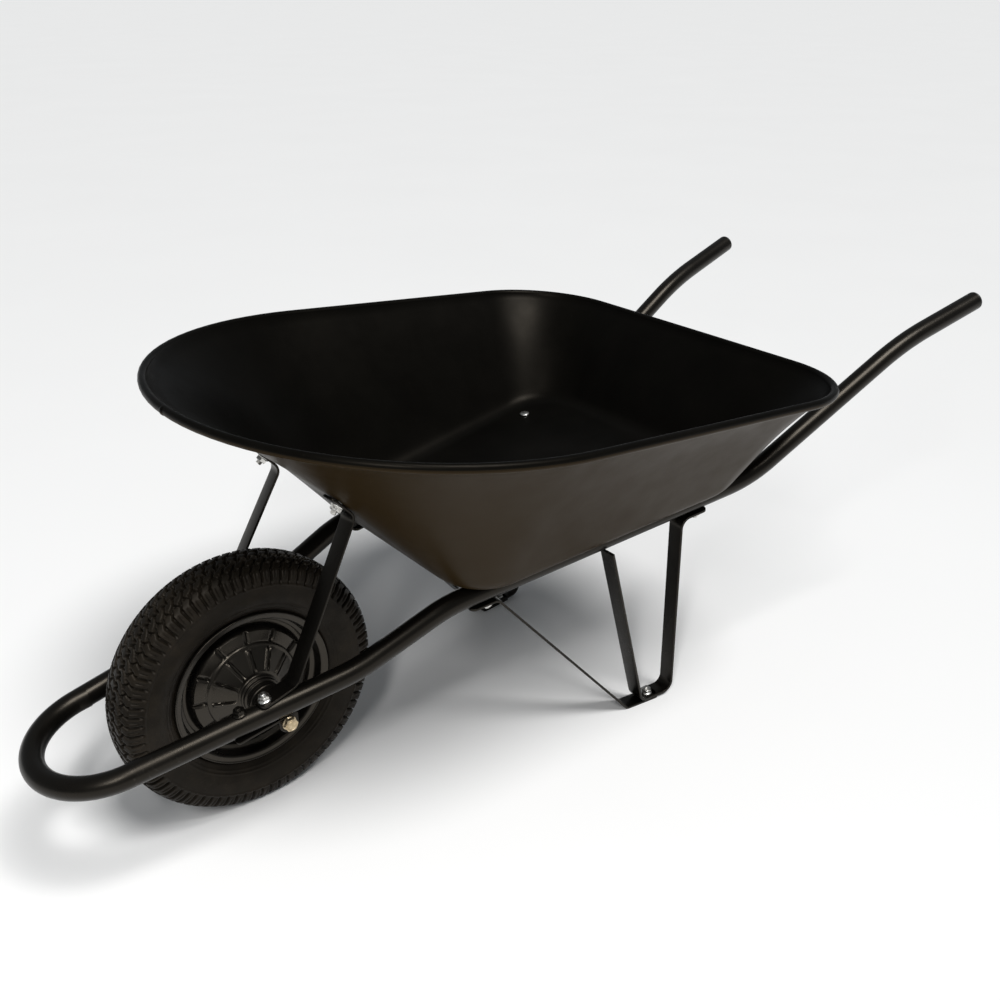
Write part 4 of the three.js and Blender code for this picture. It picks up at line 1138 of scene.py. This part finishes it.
def valve():
    around = Matrix.Rotation(VALVE["angle"], 4, "Y")
    root = Matrix.Translation((0, VALVE["y"], VALVE["r"])) @ Matrix.Rotation(VALVE["lean"], 4, "X")
    place = Matrix.Translation((0, 0, WHEEL_R)) @ around @ root
    end, foot = -VALVE["length"], -VALVE["foot"]
    neck_r, neck_top = VALVE["neck_r"], end + VALVE["neck"]
    stem = lathe([(0, end), (neck_r, end), (neck_r, neck_top), (VALVE["stem_r"], neck_top + 1),
                  (VALVE["stem_r"], foot), (0, foot)], 24)
    piece("valve_stem", *moved(stem, place), "tube_rubber", body="wheel")
    cap_r, low, mouth = VALVE_CAP["r"], end - VALVE_CAP["length"], end - GAP
    profile = [(0, low), (VALVE_CAP["tip_r"], low), (cap_r, low + 1)]
    profile += [(cap_r - VALVE_CAP["groove"] * (k % 2), low + VALVE_CAP["first"] + VALVE_CAP["step"] * k)
                for k in range(VALVE_CAP["count"])]
    profile += [(cap_r, end - 1), (VALVE_CAP["mouth_r"], mouth), (0, mouth)]
    piece("valve_cap", *moved(lathe(profile, 24), place), "cap_plastic", body="wheel")


def axle_parts():
    head_y = LUG_Y + LUG_T / 2 + GAP
    near, inside = turned_over(-head_y), AXLE_HEAD_T - 1
    head = moved(hexagon(AXLE_HEAD_ACROSS, AXLE_HEAD_T, AXLE_HEAD_SKIRT_R), near)
    crown = [(0, inside), (AXLE_CROWN[0][0], inside)] + [(r, AXLE_HEAD_T + rise) for r, rise in AXLE_CROWN]
    start = thread_start(head_y, AXLE_HEAD_T)
    shank = rod(-head_y - 1, start, AXLE_R, 32)
    end = moved(threaded(AXLE_R, AXLE_THREAD_LENGTH), lifted(start))
    bolt = joined(head, moved(lathe(crown, 48), near), shank, end)
    piece("axle_bolt", *moved(bolt, AT_AXLE), "axle_steel")
    far = hexagon(AXLE_HEAD_ACROSS, AXLE_HEAD_T, AXLE_NUT_SKIRT_R, AXLE_R + NUT_CLEARANCE)
    piece("axle_nut", *moved(moved(far, lifted(head_y)), AT_AXLE), "axle_steel")
    for label, side in SIDES:
        low, high = sorted((side * (HUB_HALF + GAP), side * (LUG_Y - LUG_T / 2 - GAP)))
        bore = AXLE_R + SPACER_CLEARANCE
        ring = rounded([(bore, low), (SPACER_R, low), (SPACER_R, high), (bore, high)], SPACER_EDGE_R, 3)
        piece(f"axle_spacer_{label}", *moved(lathe(ring, 40), AT_AXLE), "axle_steel")


# ---- stage ----

# Places and sizes on the stage are in metres.
CAMERA = dict(sensor=36, lens=39.72, azimuth=-38.41, elevation=25.70, place=(-0.4749, -1.1270, 0.9965))
SUN = dict(strength=2.65, angle=26, toward=(0.1, -0.41, 0.9))
STRIP = dict(place=(-1.6, -1.5, 1.95), target=(0.45, 0.1, 0.4), size=(0.2, 0.8), power=24)
FLOOR_REACH = 90.0
FLOOR_SHADES = ((0.87, 0.865, 0.855), (0.9, 0.895, 0.885))
FLOOR_ROUGH = 0.85
WORLD_SEEN = (0.97, 0.97, 0.965, 1)
WORLD_LIGHT = (0.9, 0.95, 1.0, 1)
WORLD_STRENGTH = 0.22


def camera():
    data = bpy.data.cameras.new("camera")
    data.sensor_width = CAMERA["sensor"]
    data.lens = CAMERA["lens"]
    azimuth, elevation = math.radians(CAMERA["azimuth"]), math.radians(CAMERA["elevation"])
    back = Vector((math.sin(azimuth) * math.cos(elevation), -math.cos(azimuth) * math.cos(elevation),
                   math.sin(elevation)))
    obj = placed("camera", data)
    obj.location = Vector(CAMERA["place"]) + Vector((SHIFT_X, 0, 0))
    obj.rotation_euler = back.to_track_quat("Z", "Y").to_euler()
    bpy.context.scene.camera = obj


def sun():
    data = bpy.data.lights.new("overhead", "SUN")
    data.energy = SUN["strength"]
    data.angle = math.radians(SUN["angle"])
    placed("overhead", data).rotation_euler = Vector(SUN["toward"]).to_track_quat("Z", "Y").to_euler()


def corner_strip():
    """A narrow light high up in front, for the highlight in the tray's far corner."""
    data = bpy.data.lights.new("corner_strip", "AREA")
    data.shape = "RECTANGLE"
    data.size, data.size_y = STRIP["size"]
    data.energy = STRIP["power"]
    obj = placed("corner_strip", data)
    obj.location = STRIP["place"]
    toward = Vector(STRIP["place"]) - Vector(STRIP["target"])
    obj.rotation_euler = toward.to_track_quat("Z", "Y").to_euler()


def floor():
    r = FLOOR_REACH
    mesh = bpy.data.meshes.new("floor")
    mesh.from_pydata([(-r, -r, 0), (r, -r, 0), (r, r, 0), (-r, r, 0)], [], [(0, 1, 2, 3)])
    n = Nodes("floor_paint")
    n.colour(n.mix(n.noise(1.5, 3), *FLOOR_SHADES))
    n.set(Roughness=FLOOR_ROUGH)
    mesh.materials.append(n.material)
    placed("floor", mesh)


def stage():
    floor()
    studio_world()
    sun()
    corner_strip()
    bpy.context.scene.view_settings.view_transform = "Standard"


def studio_world():
    """A pale surround that lights the object only dimly, as a large dark studio does."""
    world = bpy.data.worlds.new("world")
    bpy.context.scene.world = world
    world.use_nodes = True
    tree = world.node_tree
    seen = tree.nodes["Background"]
    seen.inputs["Color"].default_value = WORLD_SEEN
    dim = tree.nodes.new("ShaderNodeBackground")
    dim.inputs["Color"].default_value = WORLD_LIGHT
    dim.inputs["Strength"].default_value = WORLD_STRENGTH
    path = tree.nodes.new("ShaderNodeLightPath")
    mix = tree.nodes.new("ShaderNodeMixShader")
    tree.links.new(path.outputs["Is Camera Ray"], mix.inputs["Fac"])
    tree.links.new(dim.outputs["Background"], mix.inputs[1])
    tree.links.new(seen.outputs["Background"], mix.inputs[2])
    tree.links.new(mix.outputs["Shader"], tree.nodes["World Output"].inputs["Surface"])


# ---- assembly ----

camera()
frame_tube()
handle_caps()
tray()
legs()
leg_straps()
front_braces()
axle_brackets()
tray_fasteners()
bracket_fasteners()
brace_fasteners()
foot_fasteners()
tyre()
inner_tube()
wheel_rim()
for side_label, side_sign in SIDES:
    ribbed_disc(side_label, side_sign)
hub()
bearings()
valve()
axle_parts()
stage()
